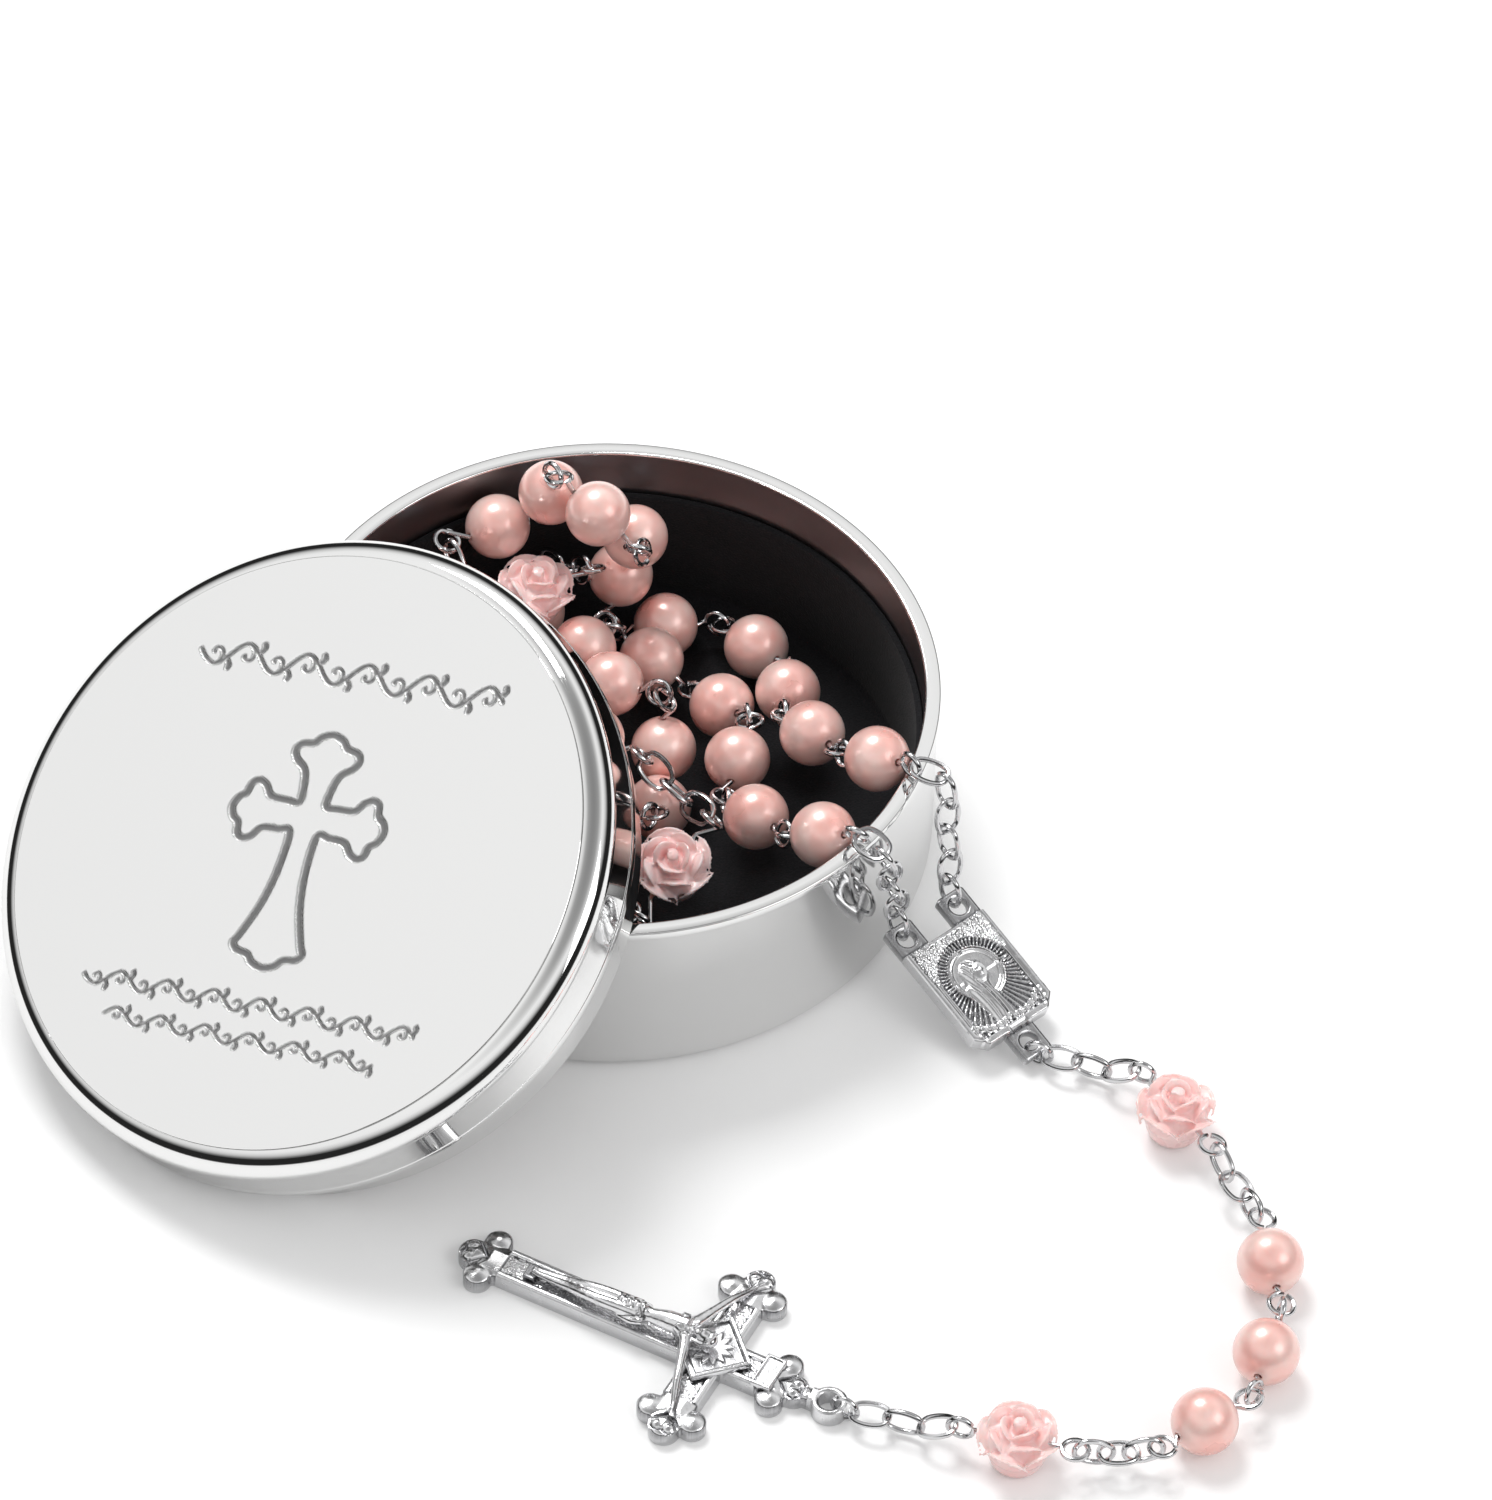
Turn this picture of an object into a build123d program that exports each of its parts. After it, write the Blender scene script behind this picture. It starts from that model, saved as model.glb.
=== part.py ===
from build123d import *
import math
import os
import numpy as np

# Round polished keepsake box with a lift-off lid, shown open: the lid leans on the rim,
# and a string of pearls lies in the lined box and trails over the rim onto the table.
# Millimetres, +Z up, origin in the middle of the box's flat base.

# ---- box body ----
boxRadius = 30.0          # outside of the rim band, half of the 60 mm width
boxHeight = 19.0          # body without the lid
rimWidth = 1.4            # flat ring at the mouth
rimBandHeight = 0.9
rimBandStep = 0.2         # how far the wall stands in below the rim band
baseRound = 2.0
baseThickness = 1.2
mouthRadius = boxRadius - rimWidth
wallRadius = boxRadius - rimBandStep

# ---- lining ----
liningThickness = 0.6
liningGap = 0.1           # glue line behind the lining
bareBand = 5.0            # polished wall left bare below the rim for the lid's collar
liningRadius = mouthRadius - liningGap - liningThickness
liningFloor = baseThickness + liningThickness
liningTop = boxHeight - bareBand

# ---- lid ----
lidHeight = 7.0
lidTopThickness = 1.2
shoulderRound = 2.1
faceStep = 0.15           # the flat face stands this much above the end of the shoulder
collarFit = 0.1           # play between the collar and the mouth, and in the lid
collarThickness = 0.8
collarDrop = 4.7          # how far the collar reaches below the lid's edge
collarSeat = 4.5          # how far it stands up inside the lid
lidTilt = 31.5            # lean of the lid, degrees from level
lidBearing = 220.7        # compass direction of the lid's face, degrees from +X
leanGap = 0.12            # air left where the collar rests on the rim
collarRadius = mouthRadius - collarFit

# ---- string of pearls ----
pearlDiameter = 6.0
roseDiameter = 7.6
eyeRadius = 1.15          # middle of the wire of an eye loop
wireThickness = 0.5
eyeNeck = 0.35            # bare wire between a pearl and its eye loop
ringRadius = 1.2          # jump rings of the medal and the crucifix
eyeSlack = 0.8            # distance between the centres of two linked eye loops
linkLength = 4.0          # chain link, outside
linkWidth = 3.0
pearlHole = 0.7
pearlsInDecade = 10
eyeReach = eyeNeck + wireThickness / 2 + eyeRadius + eyeSlack / 2
pearlPitch = pearlDiameter + 2 * eyeReach
rosePitch = roseDiameter + 2 * eyeReach
linkPitch = linkLength - 2 * wireThickness

# ---- centre medal ----
medalWidth = 9.2
medalLength = 11.2
medalThickness = 1.2
medalRelief = 0.3
medalEar = 3.0
medalEarHole = 0.9
medalEarThickness = 0.8
medalEarSpread = 3.1      # from the middle line to an upper ear
medalLift = 0.7           # the ring in the lower ear holds the medal off the table
medalBearing = 131.4      # compass direction from the lower ear to the upper ears
medalRise = 17.0          # lean of the medal against the foot of the box, degrees

# ---- crucifix ----
crossThickness = 1.7
crossBar = 3.4
crossFoot = 25.2          # centre to the end of the long arm
crossArm = 10.4           # centre to the end of a side arm
crossHead = 9.4           # centre to the end of the top arm
crossLobe = 1.25
crossEyeRadius = 1.6
crossEyeHole = 1.0
crossEyeThickness = 0.7
crossEyeReach = 11.6      # centre to the middle of the cast eye
crossLift = 75.0          # how far the crucifix can be lifted by its foot, degrees
crossField = 0.35         # depth of the sunk field
plaqueSide = 5.6
plaqueThickness = 0.5
titleWidth = 3.6
titleLength = 1.9
titleThickness = 0.45
corpusGap = 0.05
corpusFoot = 17.5         # centre of the cross to the figure's feet, knees and hips
corpusKnee = 11.5
corpusHip = 7.2
crossBearing = -26.4      # compass direction of the top arm

# ---- where the string lies, chosen by hand ----
# Joints are the points where two eye loops meet.
crossingBearing = -28.4   # compass direction in which the string leaves the box
rimJointLift = 1.7        # height of the last loops above the rim
hangLift = 1.4            # height of the first hanging link's top above the rim
firstDecade = [
    (21.0, -4.0, 15.5), (16.0, 4.0, 11.5), (16.0, 13.0, 7.5),
    (9.5, 20.0, 5.0), (0.0, 20.0, 5.0), (1.0, 24.5, 14.0), (2.0, 16.5, 19.5),
    (-5.5, 20.5, 24.0), (-6.5, 24.5, 15.5), (-15.0, 19.5, 15.5),
]
lastDecade = [
    (16.0, -13.5, 15.5), (10.5, -6.0, 11.0), (12.0, 3.5, 10.0),
    (7.5, 11.5, 6.0), (-0.5, 17.0, 8.0), (-4.5, 8.5, 11.5), (4.0, 4.0, 12.0),
    (5.0, -1.0, 4.0), (3.0, -8.5, 9.5), (-4.0, -14.0, 6.5),
]
firstRose = [(-12.0, 14.3, 14.0), (-3.0, 20.4, 12.9)]
lastRose = [(8.8, -9.3, 11.5), (3.9, -18.6, 8.5)]
# The rest is measured from the point of the rim that the string crosses.
rightRim = (1.21, 4.07)
rightHang = (4.11, 2.97)
leftRim = (-3.49, -4.43)
leftHang = (-1.29, -6.33)
medalPlace = (3.41, -1.83)      # middle of the line between the upper ears
pendantRose = [(22.21, -16.13), (29.01, -24.73)]
pendantPearls = [(33.01, -32.33), (34.81, -42.73), (32.11, -52.73), (23.91, -58.73)]
lowerRose = [(17.11, -59.33), (6.31, -57.23)]
crossEye = (-4.79, -53.63)


def unit(vector):
    return vector / np.linalg.norm(vector)


def compass(degrees):
    return np.array([math.cos(math.radians(degrees)), math.sin(math.radians(degrees)), 0.0])


def fromCrossing(place, height):
    # a place measured from the point of the rim that the string crosses
    return compass(crossingBearing) * boxRadius + np.array([place[0], place[1], height])


# ---- the lid's lean ----
lidNormal = math.sin(math.radians(lidTilt)) * compass(lidBearing)
lidNormal = lidNormal + np.array([0.0, 0.0, math.cos(math.radians(lidTilt))])
lidSide = compass(lidBearing + 90)
lidFront = np.cross(lidNormal, lidSide)


def lidCentreAt(distance):
    # the lid's edge stands on the table, so its centre is as high as the lean lifts it
    return compass(lidBearing) * distance + np.array([0, 0, boxRadius * math.sin(math.radians(lidTilt))])


def airOverRim(distance):
    # lowest point of the collar's edge above the flat ring of the rim
    lowest = boxHeight
    for radius in (collarRadius, collarRadius - collarThickness / 2, collarRadius - collarThickness):
        for step in range(360):
            turn = math.radians(step)
            point = lidCentreAt(distance) - lidNormal * collarDrop
            point = point + radius * (math.cos(turn) * lidSide + math.sin(turn) * lidFront)
            if mouthRadius < math.hypot(point[0], point[1]) < boxRadius:
                lowest = min(lowest, point[2] - boxHeight)
    return lowest


def leanDistance():
    near, far = 0.6 * boxRadius, 1.6 * boxRadius
    for halving in range(24):
        middle = (near + far) / 2
        if airOverRim(middle) < leanGap:
            near = middle
        else:
            far = middle
    return far


lidCentre = lidCentreAt(leanDistance())


def turned(outline):
    # closed outline of (radius, height), turned about Z
    return Rot(90, 0, 0) * revolve(make_face(outline), Axis.Y)


def upright(point, xDirection, zDirection):
    return Plane(origin=tuple(point), x_dir=tuple(xDirection), z_dir=tuple(zDirection)).location


def roundedCorner(centreRadius, centreHeight, radius, startAngle, endAngle, slopes):
    # a rounding drawn as a few slopes, its corners on the true arc
    points = []
    for step in range(slopes + 1):
        turn = math.radians(startAngle + (endAngle - startAngle) * step / slopes)
        points.append((centreRadius + radius * math.cos(turn), centreHeight + radius * math.sin(turn)))
    return points


# ---- box ----
def bodyShell():
    foot = roundedCorner(wallRadius - baseRound, baseRound, baseRound, -90, 0, 2)
    return turned(Polyline(
        (0, 0), *foot, (wallRadius, boxHeight - rimBandHeight),
        (boxRadius, boxHeight - rimBandHeight), (boxRadius, boxHeight),
        (mouthRadius, boxHeight), (mouthRadius, baseThickness), (0, baseThickness), close=True,
    ))


def bodyLining():
    outer = mouthRadius - liningGap
    return turned(Polyline(
        (0, baseThickness), (outer, baseThickness), (outer, liningTop),
        (liningRadius, liningTop), (liningRadius, liningFloor), (0, liningFloor), close=True,
    ))


# ---- lid ----
def lidShell():
    faceRadius = boxRadius - shoulderRound
    shoulderTop = lidHeight - faceStep
    ceiling = lidHeight - lidTopThickness
    shoulder = roundedCorner(faceRadius, shoulderTop - shoulderRound, shoulderRound, 0, 90, 3)
    return turned(Polyline(
        (0, ceiling), (mouthRadius, ceiling), (mouthRadius, 0), (boxRadius, 0),
        *shoulder, (faceRadius, lidHeight), (0, lidHeight), close=True,
    ))


def lidCollar():
    inner = collarRadius - collarThickness
    return turned(Polyline(
        (inner, -collarDrop), (collarRadius, -collarDrop),
        (collarRadius, collarSeat), (inner, collarSeat), close=True,
    ))


# ---- small pieces of the string: flat facets, because there are so many of them ----
beadSides = 8
beadBands = 4
roundSides = 8
wireSides = 3
loopSides = 5


def solidOf(polygons):
    faces = [Face(Wire.make_polygon([tuple(map(float, p)) for p in polygon], close=True)) for polygon in polygons]
    return Solid(Shell(faces))


def ringOfCorners(centre, xDirection, yDirection, radius, sides, turn=0.0):
    corners = []
    for step in range(sides):
        angle = 2 * math.pi * (step + turn) / sides
        corners.append(centre + radius * (math.cos(angle) * xDirection + math.sin(angle) * yDirection))
    return corners


def between(lower, upper):
    # flat sides from one ring of corners to the next
    count = len(lower)
    return [[lower[k], lower[(k + 1) % count], upper[(k + 1) % count], upper[k]] for k in range(count)]


def triangles(lower, upper):
    # the same, where the sides would be twisted
    sides = between(lower, upper)
    return [[a, b, c] for a, b, c, d in sides] + [[a, c, d] for a, b, c, d in sides]


def pearlBlank():
    # a ball bored along Z
    x, y, z = np.eye(3)
    radius = pearlDiameter / 2
    rings = []
    for step in range(beadBands):
        turn = math.pi * ((step + 0.5) / beadBands - 0.5)
        rings.append(ringOfCorners(z * radius * math.sin(turn), x, y, radius * math.cos(turn), beadSides))
    polygons = [rings[0][::-1], rings[-1]]
    for lower, upper in zip(rings, rings[1:]):
        polygons += between(lower, upper)
    bore = extrude(RegularPolygon(pearlHole / 2 * math.sqrt(2), 4), pearlDiameter, both=True)
    return solidOf(polygons) - bore


def bentWire(points, thickness, closed=False):
    # a wire through the points, mitred at each; its corners lie on the true thickness
    points = [np.array(p, float) for p in points]
    count = len(points)
    ways = [unit(points[(k + 1) % count] - points[k]) for k in range(count if closed else count - 1)]
    side = sideways(ways[0], np.array([0.31, 0.57, 0.76]))
    if closed:
        side = unit(np.cross(ways[0], ways[1]))
    section = ringOfCorners(points[0], side, np.cross(ways[0], side), thickness / 2, wireSides)
    rings = []
    for k in range(count):
        before = ways[k - 1] if closed or k else ways[0]
        after = ways[k] if k < len(ways) else ways[-1]
        mitre = unit(before + after)
        way = after if k == 0 else before
        section = [p + way * ((points[k] - p) @ mitre) / (way @ mitre) for p in section]
        rings.append(section)
    polygons = []
    for k in range(count if closed else count - 1):
        polygons += between(rings[k], rings[(k + 1) % count])
    if not closed:
        polygons += [rings[0][::-1], rings[-1]]
    return solidOf(polygons)


def linkBlank():
    # oval link, long way along X
    x, y = (linkLength - wireThickness) / 2, (linkWidth - wireThickness) / 2
    bend = linkLength / 2 - linkWidth / 2
    return bentWire([(x, 0, 0), (bend, y, 0), (-bend, y, 0), (-x, 0, 0), (-bend, -y, 0), (bend, -y, 0)],
                    wireThickness, closed=True)


def sideways(direction, wish):
    # the part of wish that is square to direction
    across = wish - direction * (wish @ direction)
    if np.linalg.norm(across) < 0.2:
        across = np.cross(direction, np.array([0.3, 1.0, 0.2]))
    return unit(across)


chainSag = 0.8
linkSlack = 0.15          # play of the last link of a chain in its loop
evenWish = np.array([0.2, 0.1, 1.0])     # which way the eye loops tend to lie
oddWish = np.array([0.9, -0.3, 0.2])
pearlShape = pearlBlank()
linkShape = linkBlank()
ringShape = bentWire(ringOfCorners(np.zeros(3), *np.eye(3)[:2], ringRadius, roundSides), wireThickness, closed=True)


# ---- how the string settles ----
settleRounds = 900
ballGap = 0.25            # air kept between the balls
loopGap = 0.1             # air kept round the eye loops
sinkStep = 0.02
pullHome = 0.12           # how firmly the part of the string in view keeps to its chosen places
shortestSpan = 0.78       # a stretch of links may draw in to this share of its length
loopReach = eyeRadius + wireThickness / 2 + 0.05
linksReach = linkWidth / 2 + 0.3


class StringPiece:
    def __init__(self, kind, group, pitch, radius):
        self.kind = kind
        self.group = group
        self.pitch = pitch
        self.radius = radius


def pearlPiece(group):
    return StringPiece("pearl", group, pearlPitch, pearlDiameter / 2)


def rosePiece(group):
    return StringPiece("rose", group, rosePitch, roseDiameter / 2)


def linksPiece(group):
    return StringPiece("links", group, 3 * linkPitch, linksReach)


def ringPoints(radius, height, startAngle, endAngle, count):
    points = []
    for step in range(count):
        turn = startAngle + (endAngle - startAngle) * step / (count - 1)
        points.append(tuple(compass(turn) * radius + np.array([0, 0, height])))
    return points


def hiddenRoute():
    # three layers of rings under the lid, from the first rose to the last
    wallRing = liningRadius - 3.9
    midRing = wallRing - 7.6
    coreRing = midRing - 7.2
    low = liningFloor + pearlDiameter / 2 + 0.1
    middle = low + pearlDiameter + 0.3
    high = middle + pearlDiameter + 0.2
    route = [firstRose[1], (-7, 22, 8), (-14, 19, low)]
    route += ringPoints(wallRing, low, 140, 262, 7) + [(-1, -19, low)]
    route += ringPoints(midRing, low, 240, 118, 6) + [(-5, 9.5, low)]
    route += ringPoints(coreRing, low, 150, 240, 4) + [(-3, -9, 8)]
    route += ringPoints(coreRing, middle, 235, 160, 3) + [(-9, 9, middle)]
    route += ringPoints(midRing, middle, 135, 235, 5) + [(-5, -20, middle)]
    route += ringPoints(wallRing, middle, 240, 150, 5) + [(-17, 11, 16)]
    route += ringPoints(midRing, high, 160, 205, 3)
    route += [(-6, -4, 16), (0, -5, 15), (5, -3.8, 13.5), lastRose[0]]
    return route


def densePath(route):
    path = []
    for start, end in zip(route, route[1:]):
        start, end = np.array(start, float), np.array(end, float)
        count = max(1, int(np.linalg.norm(end - start) / 0.1))
        path += [start + (end - start) * k / count for k in range(count)]
    return np.array(path + [np.array(route[-1], float)])


def stepAlong(route, pitches):
    # walks the route with steps in proportion to the pitches, so that the last step ends it
    path = densePath(route)
    short, long = 0.4, 1.5
    best = None
    for halving in range(40):
        scale = (short + long) / 2
        joints, place = [path[0]], 0
        for pitch in pitches:
            away = np.nonzero(np.linalg.norm(path[place:] - joints[-1], axis=1) >= pitch * scale)[0]
            if len(away) == 0:
                break
            place += int(away[0])
            joints.append(path[place])
        if len(joints) == len(pitches) + 1:
            short, best = scale, joints
        else:
            long = scale
    best[-1] = path[-1]
    return best[1:]


def stringInBox():
    pieces = [pearlPiece("decade_1") for k in range(pearlsInDecade)]
    pieces += [linksPiece("chain_1a"), rosePiece("rose_1")]
    joints = [fromCrossing(rightRim, boxHeight + rimJointLift)]
    joints += [np.array(p, float) for p in firstDecade + firstRose]
    hidden = [linksPiece("chain_1b")]
    for decade in (2, 3, 4):
        hidden += [pearlPiece("decade_%d" % decade) for k in range(pearlsInDecade)]
        hidden.append(linksPiece("chain_%da" % decade))
        if decade < 4:
            hidden += [rosePiece("rose_%d" % decade), linksPiece("chain_%db" % decade)]
    inView = len(joints)
    joints += stepAlong(hiddenRoute(), [piece.pitch for piece in hidden])
    lastInView = len(joints) - 1
    pieces += hidden + [rosePiece("rose_4"), linksPiece("chain_4b")]
    joints += [np.array(lastRose[1], float)]
    joints += [np.array(p, float) for p in reversed(lastDecade)]
    joints.append(fromCrossing(leftRim, boxHeight + rimJointLift))
    pieces += [pearlPiece("decade_5") for k in range(pearlsInDecade)]
    held = [pullHome if k < inView or k >= lastInView else 0.0 for k in range(len(joints))]
    return pieces, settle(pieces, np.array(joints), np.array(held))


def settle(pieces, joints, held):
    # every piece is a rod from joint to joint with a ball on its middle; in each round the
    # joints sink a little, and then rods, balls, loops, walls, floor and lid push them back
    home = joints.copy()
    count = len(pieces)
    first = np.arange(count)
    radius = np.array([piece.radius for piece in pieces])
    pitch = np.array([piece.pitch for piece in pieces])
    shortest = np.array([piece.pitch * (shortestSpan if piece.kind == "links" else 1.0) for piece in pieces])
    free = np.ones(count + 1, bool)
    free[0] = free[-1] = False
    rowA, rowB = np.triu_indices(count, 1)
    need = radius[rowA] + radius[rowB] + ballGap
    reachToLoop = radius[None] + loopReach + loopGap
    for turn in range(settleRounds):
        if turn < 0.75 * settleRounds:
            joints[free, 2] -= sinkStep
            joints += (home - joints) * held[:, None]
        for k in range(count):
            span = joints[k + 1] - joints[k]
            length = np.linalg.norm(span)
            want = min(max(length, shortest[k]), pitch[k])
            share = span * (length - want) / length / max(1, int(free[k]) + int(free[k + 1]))
            joints[k] += share * free[k]
            joints[k + 1] -= share * free[k + 1]
        middles = (joints[:-1] + joints[1:]) / 2
        away = middles[rowA] - middles[rowB]
        distance = np.linalg.norm(away, axis=1)
        for k in np.nonzero(distance < need)[0]:
            push = away[k] / max(distance[k], 1e-6) * (need[k] - distance[k]) / 2
            joints[rowA[k]] += push
            joints[rowB[k] + 1] -= push
            if rowB[k] > rowA[k] + 1:
                joints[rowA[k] + 1] += push
                joints[rowB[k]] -= push
        middles = (joints[:-1] + joints[1:]) / 2
        away = joints[:, None] - middles[None]
        distance = np.linalg.norm(away, axis=2)
        close = distance < reachToLoop
        close[first, first] = False
        close[first + 1, first] = False
        for k, ball in zip(*np.nonzero(close)):
            push = away[k, ball] / distance[k, ball] * (reachToLoop[0, ball] - distance[k, ball]) * 0.4
            joints[k] += push
            joints[ball] -= push / 2
            joints[ball + 1] -= push / 2
        away = joints[:, None] - joints[None]
        distance = np.linalg.norm(away, axis=2) + 99 * np.eye(count + 1)
        for k, other in zip(*np.nonzero(np.triu(distance < 2 * loopReach, 1))):
            push = away[k, other] / distance[k, other] * (2 * loopReach - distance[k, other]) * 0.4
            joints[k] += push
            joints[other] -= push
        middles = (joints[:-1] + joints[1:]) / 2
        for k in range(count):
            keepIn(joints, (k, k + 1), middles[k], radius[k])
        for k in range(1, count):
            keepIn(joints, (k,), joints[k].copy(), loopReach)
        joints[~free] = home[~free]
    return joints


def keepIn(joints, rows, middle, radius):
    # moves these joints so that a ball round middle clears the wall, the floor and the lid
    shift = np.zeros(3)
    reach = math.hypot(middle[0], middle[1])
    inLining = middle[2] - radius < liningTop
    limit = (liningRadius if inLining else mouthRadius) - loopGap - radius
    if reach > limit:
        shift[:2] = middle[:2] * (limit / reach - 1)
    shift[2] = max(0.0, liningFloor + radius + 0.05 - middle[2])
    inLid = (middle - lidCentre) @ lidNormal + radius + collarDrop + 0.3
    if inLid > 0:
        shift -= lidNormal * inLid
    for row in rows:
        joints[row] += shift


# ---- drawing the string from its joints ----
solids = {}


def keep(node, solid):
    solids.setdefault(node, []).append(solid)


def quarterTurn(along, normal):
    # square to along, and to a ring or link that lies with this normal
    return unit(np.cross(along, sideways(along, normal)))


def chainLinks(node, points, lastNormal):
    # one link between each two points, each turned a quarter against the one before
    for start, end in zip(points, points[1:]):
        start, end = np.array(start, float), np.array(end, float)
        along = unit(end - start)
        lastNormal = quarterTurn(along, lastNormal)
        keep(node, upright((start + end) / 2, along, lastNormal) * linkShape)
    return lastNormal


def sagging(start, end, lowest):
    # the ends of the links from start to end, hanging down a little but not below lowest
    count = max(3, round(float(np.linalg.norm(end - start)) / linkPitch))
    points = []
    slack = unit(end - start) * linkSlack
    start, end = start + slack, end - slack
    for k in range(count + 1):
        point = start + (end - start) * k / count
        point[2] = max(point[2] - chainSag * math.sin(math.pi * k / count), min(lowest, point[2]))
        points.append(point)
    return points


def throughJoint(pieces, directions, k):
    # the way the string runs through joint k: a chain's own way, or halfway between two balls'
    before, after = directions[k], directions[k + 1]
    if k and pieces[k - 1].kind == "links":
        return before
    if k < len(pieces) and pieces[k].kind == "links":
        return after
    middle = before + after
    return unit(middle) if np.linalg.norm(middle) > 0.3 else unit(after)


def eyeLoop(centre, outward, normal):
    # from the neck once round, ending just short of the neck
    corners = ringOfCorners(centre, -outward, np.cross(normal, -outward), eyeRadius, loopSides)
    return corners + [corners[-1] + (corners[0] - corners[-1]) * 0.7]


def eyePin(middle, direction, ballRadius, startLoop, endLoop):
    # one bent wire: loop, neck, through the ball, neck, loop; a loop is (centre, along, normal)
    mouth = direction * (ballRadius * math.cos(math.pi / beadSides) + wireThickness / 2 + 0.1)
    centre, along, normal = startLoop
    points = eyeLoop(centre, -along, normal)[::-1] + [middle - mouth, middle + mouth]
    return bentWire(points + eyeLoop(*endLoop), wireThickness)


def drawString(pieces, joints, startNormal, endNormal, lowest):
    # links and loops from joint to joint, each turned a quarter against the last, then the balls;
    # startNormal and endNormal are those of the rings that the string's two ends hang in
    directions = [unit(joints[k + 1] - joints[k]) for k in range(len(pieces))]
    directions = [directions[0]] + directions + [directions[-1]]
    last = len(pieces) - 1
    if pieces[last].kind == "links":
        # this chain is laid from its far end, and the ball before it takes its turn from it
        points = sagging(joints[last], joints[last + 1], lowest)
        endNormal = chainLinks(pieces[last].group, points[::-1], endNormal)
        last = last - 1
    normal = startNormal
    for k, piece in enumerate(pieces[:last + 1]):
        direction = directions[k + 1]
        if piece.kind == "links":
            normal = chainLinks(piece.group, sagging(joints[k], joints[k + 1], lowest), normal)
            continue
        along = throughJoint(pieces, directions, k)
        startLoop = (joints[k] + along * eyeSlack / 2, along, quarterTurn(along, normal))
        along = throughJoint(pieces, directions, k + 1)
        wish = evenWish if k % 2 else oddWish
        if k == last:
            normal = quarterTurn(along, endNormal)
        else:
            normal = sideways(along, wish)
        endLoop = (joints[k + 1] - along * eyeSlack / 2, along, normal)
        middle = (joints[k] + joints[k + 1]) / 2
        pin = eyePin(middle, direction, piece.radius, startLoop, endLoop)
        if piece.kind == "pearl":
            ball = Plane(origin=tuple(middle), z_dir=tuple(direction)).location * pearlShape
            keep("pearls_" + piece.group, ball)
            keep("eyepins_" + piece.group, pin)
        else:
            keep(piece.group, roseBead(middle, direction))
            keep("eyepin_" + piece.group, pin)
    return normal


def petalTier(levels, turn):
    # five petals as one ring of facets; levels are (height, reach) as shares of the radius
    x, y, z = np.eye(3)
    radius = roseDiameter / 2
    rings = [ringOfCorners(z * radius * height, x, y, radius * reach, 5, turn) for height, reach in levels]
    polygons = [rings[0][::-1], rings[-1]]
    for lower, upper in zip(rings, rings[1:]):
        polygons += between(lower, upper)
    return solidOf(polygons)


def roseBlank():
    # moulded rose: a cup of outer petals and turned tiers inside, bored across
    flower = petalTier([(-0.8, 0.55), (-0.1, 1.0), (0.35, 0.95)], 0)
    flower += petalTier([(-0.3, 0.6), (0.1, 0.98), (0.5, 0.9)], 0.5)
    flower += petalTier([(0.0, 0.5), (0.62, 0.68)], 0)
    flower += petalTier([(0.0, 0.3), (0.8, 0.42)], 0.5)
    bore = extrude(Plane.YZ * RegularPolygon(pearlHole / 2 * math.sqrt(2), 4), roseDiameter, both=True)
    return flower - bore


def roseBead(middle, direction):
    return upright(middle, direction, sideways(direction, np.array([0.1, 0.0, 1.0]))) * roseShape


# ---- medal ----
def medalFrame():
    upDirection = compass(medalBearing) * math.cos(math.radians(medalRise))
    upDirection = upDirection + np.array([0, 0, math.sin(math.radians(medalRise))])
    side = compass(medalBearing - 90)
    normal = np.cross(side, upDirection)
    earHeight = medalLength / 2 + medalEar / 2
    centre = fromCrossing(medalPlace, 0.0) - upDirection * earHeight
    foot = (medalLength / 2 + medalEar) * math.sin(math.radians(medalRise))
    centre[2] = foot + medalThickness / 2 * math.cos(math.radians(medalRise)) + medalLift
    return centre, side, upDirection, normal


def cutCorners(width, length, cut):
    x, y = width / 2, length / 2
    return make_face(Polyline(
        (x, y), (-x, y), (-x, cut - y), (cut - x, -y), (x - cut, -y), (x, cut - y), close=True,
    ))


def medalShape():
    half = medalLength / 2
    body = extrude(cutCorners(medalWidth, medalLength, 1.2), medalThickness / 2, both=True)
    border = cutCorners(medalWidth, medalLength, 1.2) - cutCorners(medalWidth - 1.8, medalLength - 1.8, 0.8)
    body += Pos(0, 0, medalThickness / 2) * extrude(border, medalRelief)
    for x, y in ((-medalEarSpread, half), (medalEarSpread, half), (0, -half)):
        ear = Pos(x, y) * Rectangle(medalEar, 2 * medalEar)
        ear -= Pos(x, y + math.copysign(medalEar / 2, y)) * RegularPolygon(medalEarHole / math.cos(math.pi / roundSides), roundSides)
        ear -= Pos(x, y - math.copysign(medalEar / 2 + 0.2, y)) * Rectangle(medalEar + 1, medalEar)
        body += extrude(ear, medalEarThickness / 2, both=True)
    halo = RegularPolygon(2.9, 12) - RegularPolygon(2.6, 12)
    body += Pos(0, 0.6, medalThickness / 2) * extrude(halo, medalRelief)
    veil = Polyline((-2.0, -4.4), (2.2, -4.4), (1.5, 0.4), (1.1, 2.0), (0.0, 2.7), (-1.2, 1.9), close=True)
    body += Pos(0, 0.1, medalThickness / 2) * extrude(make_face(veil), medalRelief)
    return body


# ---- crucifix ----
def crossOutline(length):
    # one arm pointing along +Y, with a lobe each side of its end and one at the tip
    arm = Pos(0, length / 2 - 1) * Rectangle(crossBar, length - 2)
    arm += Pos(0, length - crossLobe) * RegularPolygon(crossLobe, roundSides)
    for side in (-1, 1):
        arm += Pos(side * (crossBar / 2 + 0.35), length - 2.2 * crossLobe) * RegularPolygon(crossLobe, roundSides)
    return arm


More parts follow.
